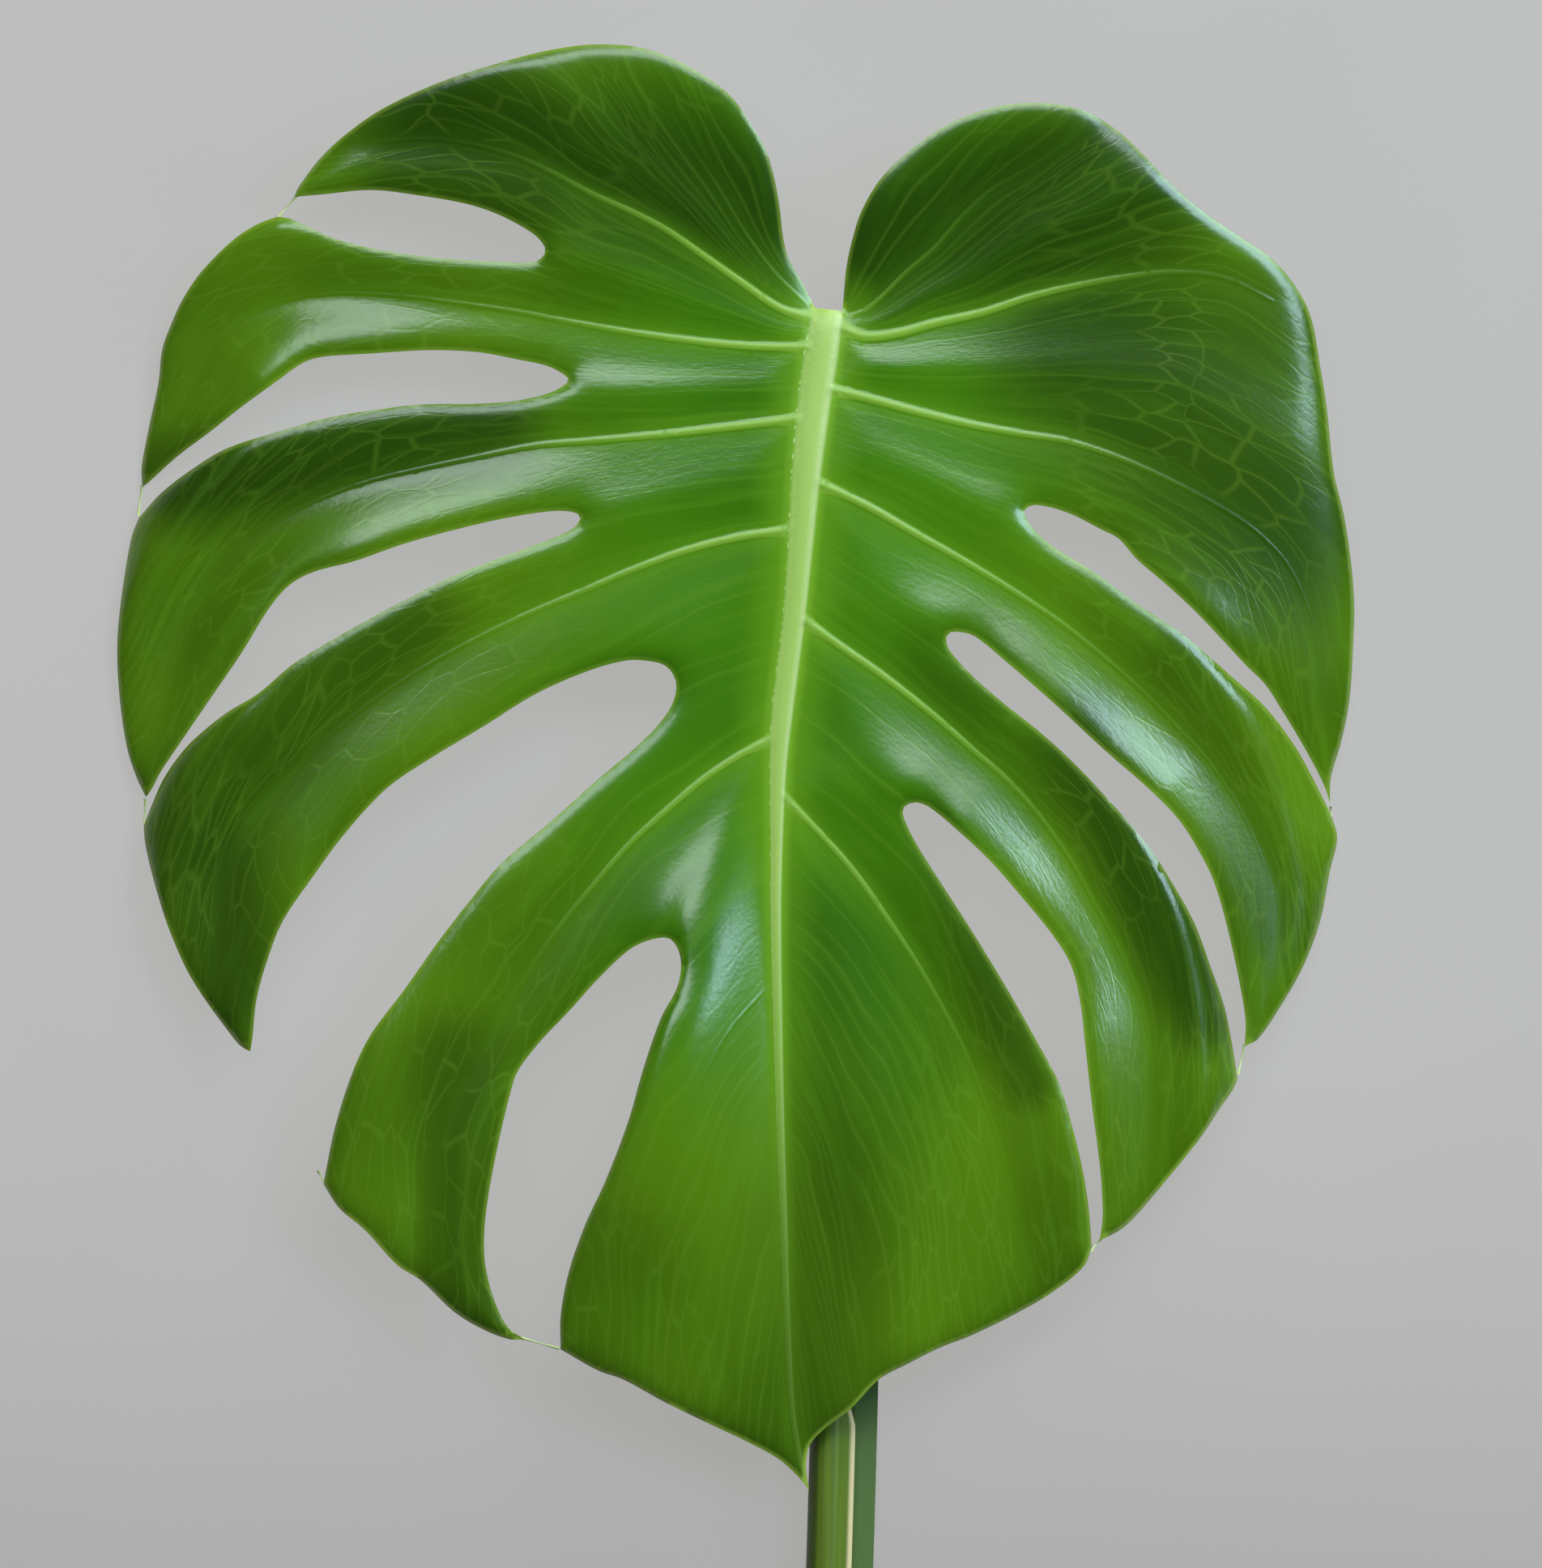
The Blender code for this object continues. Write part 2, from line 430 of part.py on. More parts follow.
class Places:
    """Points of the blade, with how far each lies from the midrib, the veins and the margin."""

    def __init__(self, leaf, points):
        self.leaf = leaf
        self.points = points
        self.x, self.y = points[:, 0], points[:, 1]
        self.half = leaf.half(self.y)
        self.midrib_away = to_line(points, leaf.midrib)[0]
        self.beside = np.clip(self.midrib_away - self.half, 0, None)
        self.edge_away = to_line(points, leaf.edge)[0]
        self.on_left = self.x < leaf.middle(self.y)
        self.sides = [
            self.measured(self.on_left, leaf.left, 1),
            self.measured(~self.on_left, leaf.right, -1),
        ]

    def measured(self, chosen, veins, tip_side):
        """For the chosen points and each vein: how far away, how far along, and whether past
        it towards the tip."""
        found = [to_line(self.points[chosen], vein) for vein in veins]
        away = np.array([line[0] for line in found])
        along = np.array([line[1] for line in found])
        past = np.array([line[2] * tip_side > 0 for line in found])
        return chosen, away, along, past

    def lie(self):
        """The broad shape: a low crown that falls to the margins and the tip."""
        heights = smooth_run(SPINE, 2.0)
        spine = np.interp(-self.y, -heights[:, 0], heights[:, 1])
        middle = self.leaf.middle(self.y)
        reach = np.where(self.on_left, LEFT_REACH + middle, RIGHT_REACH - middle)
        margins = smooth_run(MARGINS, 4.0)
        left = np.interp(-self.y, -margins[:, 0], margins[:, 1])
        right = np.interp(-self.y, -margins[:, 0], margins[:, 2])
        margin = np.where(self.on_left, left, right)
        aside = np.abs(self.x - middle) / reach
        return spine - (spine - margin) * aside**CAMBER_POWER

    def quilt(self):
        """The rise from the veins and the roll at the margin, without the raised veins. Each
        vein counts by how near it is."""
        slopes = smooth_run(MIDRIB_SLOPES, 4.0)
        leftward = np.interp(-self.y, -slopes[:, 0], slopes[:, 1])
        rightward = np.interp(-self.y, -slopes[:, 0], slopes[:, 2])
        left_rise = self.risen(self.beside, leftward, MIDRIB_LEFT_REACH)
        right_rise = self.risen(self.beside, rightward, MIDRIB_RIGHT_REACH)
        weight = (self.beside + 0.5) ** -BLEND_POWER
        rise = weight * np.where(self.on_left, left_rise, right_rise)
        for (chosen, away, out, past), slopes in zip(self.sides, (LEFT_SLOPES, RIGHT_SLOPES)):
            for number, (notchward, tipward) in enumerate(slopes):
                up = np.interp(out[number], SLOPE_PLACES, notchward)
                down = np.interp(out[number], SLOPE_PLACES, tipward)
                steep = np.where(past[number], down, up)
                near = (away[number] + 0.5) ** -BLEND_POWER
                rise[chosen] += near * self.risen(away[number], steep, QUILT_REACH)
                weight[chosen] += near
        return rise / weight - ROLL_DROP * np.exp(-self.edge_away / ROLL_REACH)

    def risen(self, away, steep, reach):
        """How high the blade has risen at a distance from a vein."""
        return steep * reach * (1 - np.exp(-rounded(away, VALLEY_RADIUS) / reach))

    def vein_widths(self):
        """Half the width of the nearest side vein where it is nearest, and how far off it is."""
        width, away = np.zeros((2, len(self.x)))
        for side, widths in zip(self.sides, (LEFT_HALF_WIDTHS, RIGHT_HALF_WIDTHS)):
            chosen, aways, alongs, _ = side
            nearest = aways.argmin(axis=0)
            columns = np.arange(len(nearest))
            taper = np.clip(1 - alongs[nearest, columns] / VEIN_REACH, 0, 1)
            width[chosen] = np.array(widths)[nearest] * (0.15 + 0.85 * taper)
            away[chosen] = aways[nearest, columns]
        return width, away

    def ribs(self):
        """Heights of the raised veins on the upper face, and depths of the ribs under them."""
        across = np.clip(1 - (self.midrib_away / self.half) ** 2, 0, 1)
        width_share = self.half / self.leaf.midrib[:, 2].max()
        width, away = self.vein_widths()
        share = np.clip(1 - (away / width) ** 2, 0, 1) * (width / max(RIGHT_HALF_WIDTHS)) ** 2
        raised = np.maximum(MIDRIB_RISE * np.sqrt(across) * width_share, VEIN_RISE * share)
        deep = np.maximum(MIDRIB_DEPTH * across * width_share, VEIN_DEPTH * share)
        return raised, deep

    def faces(self):
        """Heights of the upper and the lower face."""
        raised, deep = self.ribs()
        skin = self.lie() + self.quilt()
        seat_away = np.hypot(self.x, self.y - SEAT_Y)
        seat = faded(seat_away, SEAT_RADIUS, 2.6 * SEAT_RADIUS)
        upper = skin + raised
        lower = skin - BLADE_THICKNESS - deep
        lower = np.maximum(lower, 0) * (1 - seat) + SEAT_HEIGHT * seat
        upper = np.maximum(upper, lower + BLADE_THICKNESS)
        return upper, lower


def vein_rows(loop):
    """Points along each vein and beside it, and the edges that hold its crest."""
    points = np.empty((0, 2))
    edges = []
    closed = np.vstack([loop, loop[:1]])
    lines = [(even_run(MIDRIB, VEIN_STEP), None)]
    lines += [(even_run(vein, VEIN_STEP), VEIN_ROW) for vein in LEFT_VEINS + RIGHT_VEINS]
    for line, half in lines:
        way = np.gradient(line[:, :2], axis=0)
        side = np.column_stack([-way[:, 1], way[:, 0]])
        side /= np.linalg.norm(side, axis=1)[:, None]
        offset = (line[:, 2:3] if half is None else half) * side
        last = None
        for centre, aside in zip(line[:, :2], offset):
            row = np.array([centre, centre + aside, centre - aside])
            far_in = inside(row, loop) & (to_line(row, closed)[0] > 1.6)
            if len(points):
                gaps = np.linalg.norm(row[:, None] - points, axis=2).min(axis=1)
                far_in &= gaps > 0.8 * np.linalg.norm(aside)
            if not far_in[0]:
                last = None
                continue
            if last is not None:
                edges.append((last, len(points)))
            last = len(points)
            points = np.vstack([points, row[far_in]])
    return points, edges


def grid_points(loop, taken):
    """A triangular grid within the outline, clear of its edge and of the points taken."""
    low = loop.min(axis=0)
    high = loop.max(axis=0)
    rows = np.arange(low[1], high[1], GRID_STEP * math.sqrt(0.75))
    found = []
    for number, y in enumerate(rows):
        start = low[0] + GRID_STEP / 2 * (number % 2)
        found += [(x, y) for x in np.arange(start, high[0], GRID_STEP)]
    found = np.array(found)
    found = found[inside(found, loop)]
    closed = np.vstack([loop, loop[:1]])
    found = found[to_line(found, closed)[0] > 0.4 * GRID_STEP]
    gaps = np.linalg.norm(found[:, None] - taken, axis=2).min(axis=1)
    return found[gaps > 0.45 * GRID_STEP]


def seat_points():
    """A ring with a centre, which the flat seat's faces fill."""
    turns = np.arange(10) * math.tau / 10
    ring = [(SEAT_RADIUS * math.cos(t), SEAT_Y + SEAT_RADIUS * math.sin(t)) for t in turns]
    return np.array([(0.0, SEAT_Y)] + ring)


def blade_mesh():
    """Vertices and faces of the closed blade, in leaf millimetres."""
    loop = outline_points(EDGE_TOLERANCE, EDGE_STEP)
    seat = seat_points()
    veins, vein_edges = vein_rows(loop)
    clear_of_seat = np.linalg.norm(veins - (0, SEAT_Y), axis=1) > 1.25 * SEAT_RADIUS
    number = np.cumsum(clear_of_seat) - 1
    vein_edges = [
        (number[a], number[b]) for a, b in vein_edges if clear_of_seat[a] and clear_of_seat[b]
    ]
    veins = veins[clear_of_seat]
    taken = np.vstack([loop, seat, veins])
    flat = np.vstack([taken, grid_points(loop, taken)])
    first_vein = len(loop) + len(seat)
    edges = [(i, (i + 1) % len(loop)) for i in range(len(loop))]
    edges += [(int(a) + first_vein, int(b) + first_vein) for a, b in vein_edges]
    spots, _, faces, _, _, _ = delaunay_2d_cdt([tuple(p) for p in flat], edges, [], 1, 1e-6)
    spots = np.array([tuple(spot) for spot in spots])
    upper, lower = Places(Leaf(), spots).faces()
    count = len(spots)
    vertices = np.vstack([np.column_stack([spots, upper]), np.column_stack([spots, lower])])
    solid = [tuple(face) for face in faces]
    sides = {}
    for face in faces:
        for a, b in zip(face, face[1:] + face[:1]):
            sides[(a, b)] = True
    solid += [tuple(corner + count for corner in reversed(face)) for face in faces]
    for a, b in sides:
        if (b, a) not in sides:
            solid.append((b, a, a + count))
            solid.append((b, a + count, b + count))
    return vertices, solid


def stalk_path():
    """Points of the stalk's axis from the seat down and then along the surface."""
    turn_top = STALK_RADIUS + BEND_RADIUS
    places = [(0.0, SEAT_Y, z) for z in np.linspace(SEAT_HEIGHT - SEAT_GAP, turn_top, 4)[:-1]]
    for angle in np.linspace(0, math.pi / 2, 10):
        y = SEAT_Y - BEND_RADIUS * (1 - math.cos(angle))
        z = turn_top - BEND_RADIUS * math.sin(angle)
        places.append((0.0, y, z))
    line = smooth_run(STALK_LINE, 2.0)
    for y in np.linspace(STALK_LINE[0][1], STALK_LINE[-1][1], STALK_RINGS)[1:]:
        places.append((np.interp(-y, -line[:, 1], line[:, 0]), y, STALK_RADIUS))
    return np.array(places)


def stalk_section(radius, y):
    """Across and up offsets of one ring: a round stalk, with the sheath's wings where it has them."""
    turn = np.arange(STALK_SIDES) * math.tau / STALK_SIDES
    ring = radius * np.column_stack([np.cos(turn), np.sin(turn)])
    for (start, full), wing in ((LOWER_WING_Y, LOWER_WING), (UPPER_WING_Y, UPPER_WING)):
        share = 1 - faded(-y, -start, -full)
        for side, corner in wing.items():
            ring[side] += share * (np.array(corner) - ring[side])
    return ring


def stalk_mesh():
    """Vertices and faces of the closed stalk, in leaf millimetres."""
    path = stalk_path()
    way = np.gradient(path, axis=0)
    along = np.append(0, np.cumsum(np.linalg.norm(np.diff(path, axis=0), axis=1)))
    radii = [JOINT_TOP_RADIUS, JOINT_RADIUS - 0.5, JOINT_RADIUS, JOINT_RADIUS, STALK_RADIUS]
    radius = np.interp(along, [0, 4, 12, 40, 60], radii)
    right = np.array([1.0, 0.0, 0.0])
    rings = []
    for place, direction, size in zip(path, way, radius):
        up = np.cross(direction / np.linalg.norm(direction), right)
        section = stalk_section(size, place[1])
        rings.append(place + section[:, :1] * right + section[:, 1:] * up)
    rings = np.array(rings)
    rings[..., 2] = np.where(rings[..., 2] < STALK_FLAT, 0, rings[..., 2])
    faces = []
    for ring in range(len(rings) - 1):
        for side in range(STALK_SIDES):
            a = ring * STALK_SIDES + side
            b = ring * STALK_SIDES + (side + 1) % STALK_SIDES
            faces.append((a, b, b + STALK_SIDES, a + STALK_SIDES))
    faces.append(tuple(reversed(range(STALK_SIDES))))
    faces.append(tuple((len(rings) - 1) * STALK_SIDES + side for side in range(STALK_SIDES)))
    return rings.reshape(-1, 3), faces


def add_object(name, vertices, faces, material):
    """One closed mesh object, placed from leaf millimetres."""
    shifted = (np.asarray(vertices) + (NOTCH_X, NOTCH_Y, 0)) * MM
    mesh = bpy.data.meshes.new(name)
    mesh.from_pydata(shifted.tolist(), [], faces)
    mesh.materials.append(material)
    mesh.shade_smooth()
    mesh.validate()
    placed = bpy.data.objects.new(name, mesh)
    bpy.context.scene.collection.objects.link(placed)
    return placed


def leaf_material(name, colour, roughness):
    material = bpy.data.materials.new(name)
    material.use_nodes = True
    shader = material.node_tree.nodes["Principled BSDF"]
    shader.inputs["Base Color"].default_value = (*colour, 1)
    shader.inputs["Roughness"].default_value = roughness
    shader.inputs["Metallic"].default_value = 0
    return material


def main():
    clear_scene()
    blade_green = leaf_material("blade_green", (0.06, 0.18, 0.012), 0.35)
    stalk_green = leaf_material("stalk_green", (0.14, 0.22, 0.05), 0.45)
    add_object("blade", *blade_mesh(), blade_green)
    add_object("petiole", *stalk_mesh(), stalk_green)


main()
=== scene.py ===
"""Looks of the picked monstera leaf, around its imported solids. Metres, +Z up.

The leaf is drawn in leaf millimetres, as its solids are: x to the right, y towards the notch
where the stalk joins, with the notch at (0, 0).
"""

import math

import bpy
import numpy as np
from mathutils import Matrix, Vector, noise
from mathutils.geometry import delaunay_2d_cdt
from mathutils.kdtree import KDTree


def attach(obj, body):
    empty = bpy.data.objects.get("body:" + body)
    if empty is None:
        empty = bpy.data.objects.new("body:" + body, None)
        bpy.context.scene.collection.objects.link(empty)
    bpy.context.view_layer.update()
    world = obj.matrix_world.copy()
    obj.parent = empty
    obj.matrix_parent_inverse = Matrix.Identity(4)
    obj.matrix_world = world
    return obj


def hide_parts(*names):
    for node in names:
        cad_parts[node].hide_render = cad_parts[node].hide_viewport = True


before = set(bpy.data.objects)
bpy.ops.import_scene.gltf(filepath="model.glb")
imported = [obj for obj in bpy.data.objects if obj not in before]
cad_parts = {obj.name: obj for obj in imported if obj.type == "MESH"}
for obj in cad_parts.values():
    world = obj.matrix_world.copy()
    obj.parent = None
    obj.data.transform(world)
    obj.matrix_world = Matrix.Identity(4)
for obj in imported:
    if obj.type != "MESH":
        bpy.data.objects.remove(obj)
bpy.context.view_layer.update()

MM = 0.001

# The leaf's notch, from the middle of the part's footprint
NOTCH_X = 22.35
NOTCH_Y = 136.1

# Blade thickness, and how deep the ribs under its veins are
BLADE_THICKNESS = 0.85
MIDRIB_DEPTH = 2.2
VEIN_DEPTH = 0.6

# How the blade lies: heights of its upper face over the surface, along the midrib's y
SPINE = [
    (70, 33), (30, 26.3), (0, 22.8), (-40, 23.2), (-90, 22.6), (-150, 22.2), (-190, 21.6), (-215, 20.2),
    (-260, 16.6), (-290, 13.8), (-300, 12.8),
]
# Heights of its margins, along y, at the left and at the right
MARGINS = [
    (70, 4, 16), (20, 0, 13), (-40, -0.9, 9.5), (-90, 0.4, 5), (-120, 1.6, 0), (-150, 2, -0.5),
    (-230, 2, 1), (-300, 2, 2),
]
LEFT_REACH = 177.0
RIGHT_REACH = 132.0
CAMBER_POWER = 3.2

# The quilting: the blade rises from each vein and rolls down at its margin
QUILT_REACH = 34.0
VALLEY_RADIUS = 2.6
ROLL_DROP = 1.8
ROLL_REACH = 3.0
# A vein's share in a place falls with this power of its distance plus the start
BLEND_POWER = 4.0
BLEND_START = 0.5
# How steeply it rises from each side vein, at five places out along it: first towards the notch,
# then towards the tip
SLOPE_PLACES = [15.0, 50.0, 85.0, 120.0, 160.0]
LEFT_SLOPES = [
    ([0.10] * 5, [0.05] * 5),
    ([0.12, 0.14, 0.15, 0.15, 0.15], [0.08, 0.14, 0.19, 0.25, 0.25]),
    ([0.10, 0.18, 0.22, 0.25, 0.25], [0.06, 0.08, 0.21, 0.34, 0.44]),
    ([0.08, 0.20, 0.25, 0.25, 0.25], [0.06, 0.11, 0.32, 0.38, 0.42]),
    ([0.08, 0.20, 0.28, 0.30, 0.30], [0.06, 0.09, 0.12, 0.14, 0.14]),
    ([0.10, 0.18, 0.22, 0.25, 0.25], [0.10, 0.16, 0.18, 0.20, 0.20]),
]
RIGHT_SLOPES = [
    ([0.15] * 5, [0.06, 0.08, 0.16, 0.25, 0.25]),
    ([0.20, 0.18, 0.15, 0.12, 0.12], [0.20, 0.08, 0.02, 0.00, 0.00]),
    ([0.16, 0.10, 0.06, 0.02, 0.02], [0.06, 0.05, 0.04, 0.04, 0.04]),
    ([0.10, 0.20, 0.26, 0.30, 0.30], [0.08, 0.16, 0.15, 0.13, -0.08]),
    ([0.12, 0.36, 0.42, 0.45, 0.45], [0.12, 0.20, 0.22, 0.15, 0.10]),
    ([0.20, 0.32, 0.35, 0.35, 0.35], [0.06, 0.09, 0.11, 0.12, 0.12]),
]
# How much steeper it gets by each millimetre off a right vein, on its side towards the tip: by
# the vein's place among the guides, up to how far off, and where out along the vein that sets in
RIGHT_CUPS = {4: 0.019, 5: 0.018}
CUP_REACH = 26.0
CUP_START = (20.0, 70.0)
# How steeply it rises from the midrib, at y, to the left and to the right, and how far it does
MIDRIB_SLOPES = [
    (0, 0.10, 0.12), (-60, 0.08, 0.08), (-110, 0.10, 0.06), (-140, 0.38, 0.10), (-170, 0.60, 0.22),
    (-200, 0.52, 0.35), (-230, 0.34, 0.42), (-260, 0.22, 0.40), (-290, 0.15, 0.30),
]
MIDRIB_LEFT_REACH = 34.0
MIDRIB_RIGHT_REACH = 12.0
# How much steeper it gets by each millimetre to the midrib's left, and along which y
MIDRIB_CUP = 0.005
MIDRIB_CUP_REACH = 45.0
MIDRIB_CUP_SPAN = (-130.0, -200.0, -205.0, -245.0)

# Raised veins on the upper face: how high, and half their width where they start. The midrib's
# foot reaches a little more than its half width, by this factor.
MIDRIB_RISE = 1.0
MIDRIB_ROUNDING = 1.3
MIDRIB_FOOT = 1.12
VEIN_RISE = 0.5
LEFT_HALF_WIDTHS = [0.55, 1.1, 1.1, 1.15, 1.1, 0.95, 0.4]
RIGHT_HALF_WIDTHS = [0.6, 1.3, 1.2, 1.15, 1.1, 0.9, 0.4]
VEIN_REACH = 165.0
VEIN_END_SHARE = 0.15

# The flat seat under the blade where the stalk carries it
SEAT_Y = -5.4
SEAT_RADIUS = 4.2
SEAT_EDGE = 2.6 * SEAT_RADIUS
SEAT_HEIGHT = 19.5

# The stalk: its radius by how far down from the blade, its bend, how far its top is sunk into
# the seat, its flat underside, and its axis along the surface as x, y
STALK_RADIUS = 4.8
STALK_RADII = [(0.0, 3.9), (4.0, 4.8), (12.0, 5.3), (40.0, 5.3), (60.0, STALK_RADIUS)]
BEND_RADIUS = 12.0
STALK_SUNK = 0.3
STALK_FLAT = 0.25
STALK_SIDES = 24
# Each side is cut into this many facets
STALK_PARTS = 4
STALK_LINE = [
    (0, -20.4), (0.6, -60), (1, -120), (1.5, -190), (1.4, -240), (1.1, -262), (0.6, -283), (-0.2, -310),
    (-1.2, -338),
]

# The sheath's wings at the stalk's right: where each starts and is full, and the corners of
# its section by the side of the ring that they replace, across and up from the stalk's axis
LOWER_WING_Y = (-120.0, -215.0)
LOWER_WING = {22: (11.6, -2.9), 23: (11.8, -1.9), 0: (5.0, -1.2)}
UPPER_WING_Y = (-267.0, -275.0)
UPPER_WING = {1: (6.3, 0.4), 2: (6.4, 1.5), 3: (3.6, 3.3)}

# Threads of the torn margin that still join or end the lobes at their slots, their radius, how
# much thinner they are in their middles and how far they sag there
THREADS = [
    ((-130.4, 29), (-134.8, 23.8)), ((-168.9, -42.2), (-169.8, -49.8)),
    ((-168, -119.6), (-168.3, -126)), ((-75, -252.4), (-65.8, -255)),
    ((103.2, -180.2), (101.6, -187.6)), ((67.6, -228), (65.2, -231)),
    ((-123.6, -214), (-125.2, -211.2)), ((124.6, -121.6), (124.6, -124)),
]
THREAD_RADIUS = 0.42
THREAD_THINNING = 0.55
THREAD_SAG = 0.5
THREAD_SIDES = 6
THREAD_RINGS = 9

# Painted shade, a deeper green where the leaf faces away from the lights: from x, y to x, y, how far
# beside that, and how much
PAINTED_SHADE_STREAKS = [
    ((-95, 50), (-20, 26), 26, 0.95), ((-104, 33), (-76, 28), 12, 0.5), ((15, 18), (75, 36), 28, 0.95),
    ((62, -6), (112, -52), 30, 0.85), ((112, -52), (124, -90), 20, 0.25),
    ((-158, -42), (-82, -28), 15, 0.9), ((-155, -122), (-104, -76), 17, 0.6),
    ((-152, -140), (-145, -168), 20, 0.8), ((-5, -285), (-1, -228), 23, 0.42),
    ((62, -104), (94, -172), 13, 0.85), ((26, -126), (50, -190), 8, 0.6),
    ((-92, -184), (-84, -250), 15, 0.55), ((30, -88), (40, -84), 16, 0.4),
    ((88, -88), (112, -150), 14, 0.45), ((1, -203), (-2, -158), 18, 0.28),
    ((62, 22), (112, -8), 24, 0.55),
]

# How far out from its line a streak of painted shade is at its full share and ends, by its reach
SHADE_STREAK_FULL = 0.2
SHADE_STREAK_END = 1.3

# How wide the skin's broad and small clouds of colour are
TONE_SPAN = 45
PATCH_SPAN = 19

# How the margin's pale rim shows: in the slots, elsewhere, and how much less of it by the tip
SLOT_RIM = 0.30
OUTER_RIM = 0.75
TIP_RIM_LOSS = 0.4
TIP_RIM_START = 150.0
TIP_RIM_END = 230.0

# The net of fine veins: how long its cells are by the midrib and far out, and where that changes
NEAR_CELL = 21.0
FAR_CELL = 26.0
CELL_CHANGE = 62.0
CELL_BLEND = 14.0
# Widths of the fine veins' long lines and of the net's
FINE_LINE_WIDTH = 0.62
NET_LINE_WIDTH = 0.36

# Spacing of the fine surface's points, on the upper face, on the lower one and along the margin
UPPER_STEP = 1.3
LOWER_STEP = 2.4
EDGE_STEP = 1.6
# Rows of points along the veins: how far from the margin and from each other they stay, and
# how far apart those of a thin vein are
ROW_MARGIN = 0.7
ROW_GAP = 0.45
ROW_HALF_WIDTH = 0.5

# Colours, as they look on a screen from 0 to 255: of the skin by the midrib and far out
INNER_GREENS = [(54, 108, 0), (68, 124, 4)]
OUTER_GREENS = [(70, 109, 2), (89, 129, 8)]
# The deeper green of the painted shade
PAINTED_SHADE_GREEN = (33, 66, 0)
BRUSHED_GREEN = (88, 140, 20)
UNDERSIDE_GREEN = (120, 156, 80)
# Of the veins and the margin. Each halo has its reach and its share too.
NET_GREEN = (130, 168, 50)
VEIN_GREEN = (126, 170, 46)
VEIN_HALO_GREEN = (100, 150, 24)
# The midrib's own pale green, and a paler one for a painted highlight along its right side
MIDRIB_GREEN_AND_HIGHLIGHT = [(156, 190, 84), (176, 200, 120)]
MIDRIB_HALOS = [(12.0, 0.5, (108, 160, 24)), (3.0, 0.6, (126, 174, 44))]
# Painted highlights in fine dashes along the midrib's left foot
DASH_HIGHLIGHT_GREEN = (176, 204, 120)
RIM_GREEN = (156, 184, 66)
THREAD_GREEN = (190, 206, 140)
# Of the stalk
STALK_GREENS = [(82, 106, 10), (98, 124, 16)]
# Painted shade down the stalk's left side and under it
STALK_SHADE_GREEN = (46, 58, 12)
SHEATH_GREEN = (80, 108, 50)
SHEATH_CREAM = (222, 204, 156)
# Of the floor
FLOOR_GREYS = [(90, 90, 89), (93, 93, 92)]
# Painted shade: the floor's glow darkens to this towards the front
FRONT_SHADE_GREY = (79, 78, 77)
PAPER_GREY = (30, 30, 30)

# The floor, in metres: how far it reaches, and how far under the leaf it is
FLOOR_REACH = 14.0
FLOOR_DROP = 0.0002

# Soft lights: name, place, width and height in metres, power in watts, and colour
SOFTBOXES = [
    ("window", (-0.10, 0.92, 1.75), (2.0, 0.6), 23.0, (0.86, 0.96, 1.0)),
    ("side_window", (1.50, 0.62, 1.50), (0.95, 0.7), 24.0, (0.60, 0.84, 1.0)),
    ("corner_window", (0.85, 1.35, 1.60), (0.8, 0.5), 7.0, (0.80, 0.94, 1.0)),
    ("low_window", (0.90, 2.00, 1.10), (1.5, 0.8), 30.0, (1.0, 0.98, 0.95)),
]

# The picture's middle and its longer side, in leaf millimetres
FRAME_X = -13.6
FRAME_Y = -116.0
FRAME_SIZE = 387.2

# Outline of the blade: smooth runs between its corners, clockwise from the notch
NOTCH_LEFT = (-2.7, 1.1)
NOTCH_RIGHT = (3.9, 0.4)

LOBE_1_LEFT = [
    NOTCH_LEFT, (-6.2, 8), (-9.2, 13.2), (-10.6, 18.4), (-11.4, 25.4), (-12.6, 32.2), (-14.6, 39.2),
    (-18.2, 45.8), (-23.8, 53.4), (-32.4, 59.6), (-44, 64.6), (-56, 65.8), (-68, 64.4), (-84, 60.2),
    (-96, 56.2), (-108, 50.8), (-116, 45.7), (-124, 38.8), (-130, 31), (-131, 28.6),
]
SLOT_1_LEFT = [
    (-124, 29.2), (-112, 30.2), (-100, 28.8), (-88, 26.6), (-80, 23.8), (-72, 19.3), (-69.4, 16.4),
    (-69.2, 14.6), (-70.6, 13), (-73, 12.3), (-84, 12.7), (-96, 13.6), (-108, 15.2), (-120, 18),
    (-128, 21.4), (-132.6, 23.4), (-135.4, 23.7),
]
LOBE_2_LEFT = [
    (-140, 22), (-146, 18.2), (-154, 10.4), (-158.6, 3.8), (-161.2, -1.6), (-163.8, -8.6),
    (-164.8, -17), (-167, -27.2), (-169, -37.8), (-168.8, -42.6),
]
SLOT_2_LEFT = [
    (-167.6, -41.8), (-160, -35.1), (-152, -29.2), (-144, -23), (-135.8, -17.1), (-128.8, -12.2),
    (-124, -10.8), (-112, -10), (-98, -9.2), (-85.8, -9.7), (-76, -11.5), (-68.4, -13.2), (-64, -15.6),
    (-63.3, -16.6), (-64.4, -17.8), (-68, -19.7), (-76, -21.6), (-86, -22.4), (-100, -22.6),
    (-112, -24), (-124, -26.1), (-136, -29.5), (-148, -33.4), (-156, -38.1), (-164, -44.1),
    (-169.6, -50.2),
]
LOBE_3_LEFT = [
    (-171.4, -54.8), (-173.4, -66), (-174.6, -75.6), (-175, -82.6), (-174.8, -89.4), (-174, -98.4),
    (-172.4, -107.8), (-170.2, -114.4), (-167.9, -119.2),
]
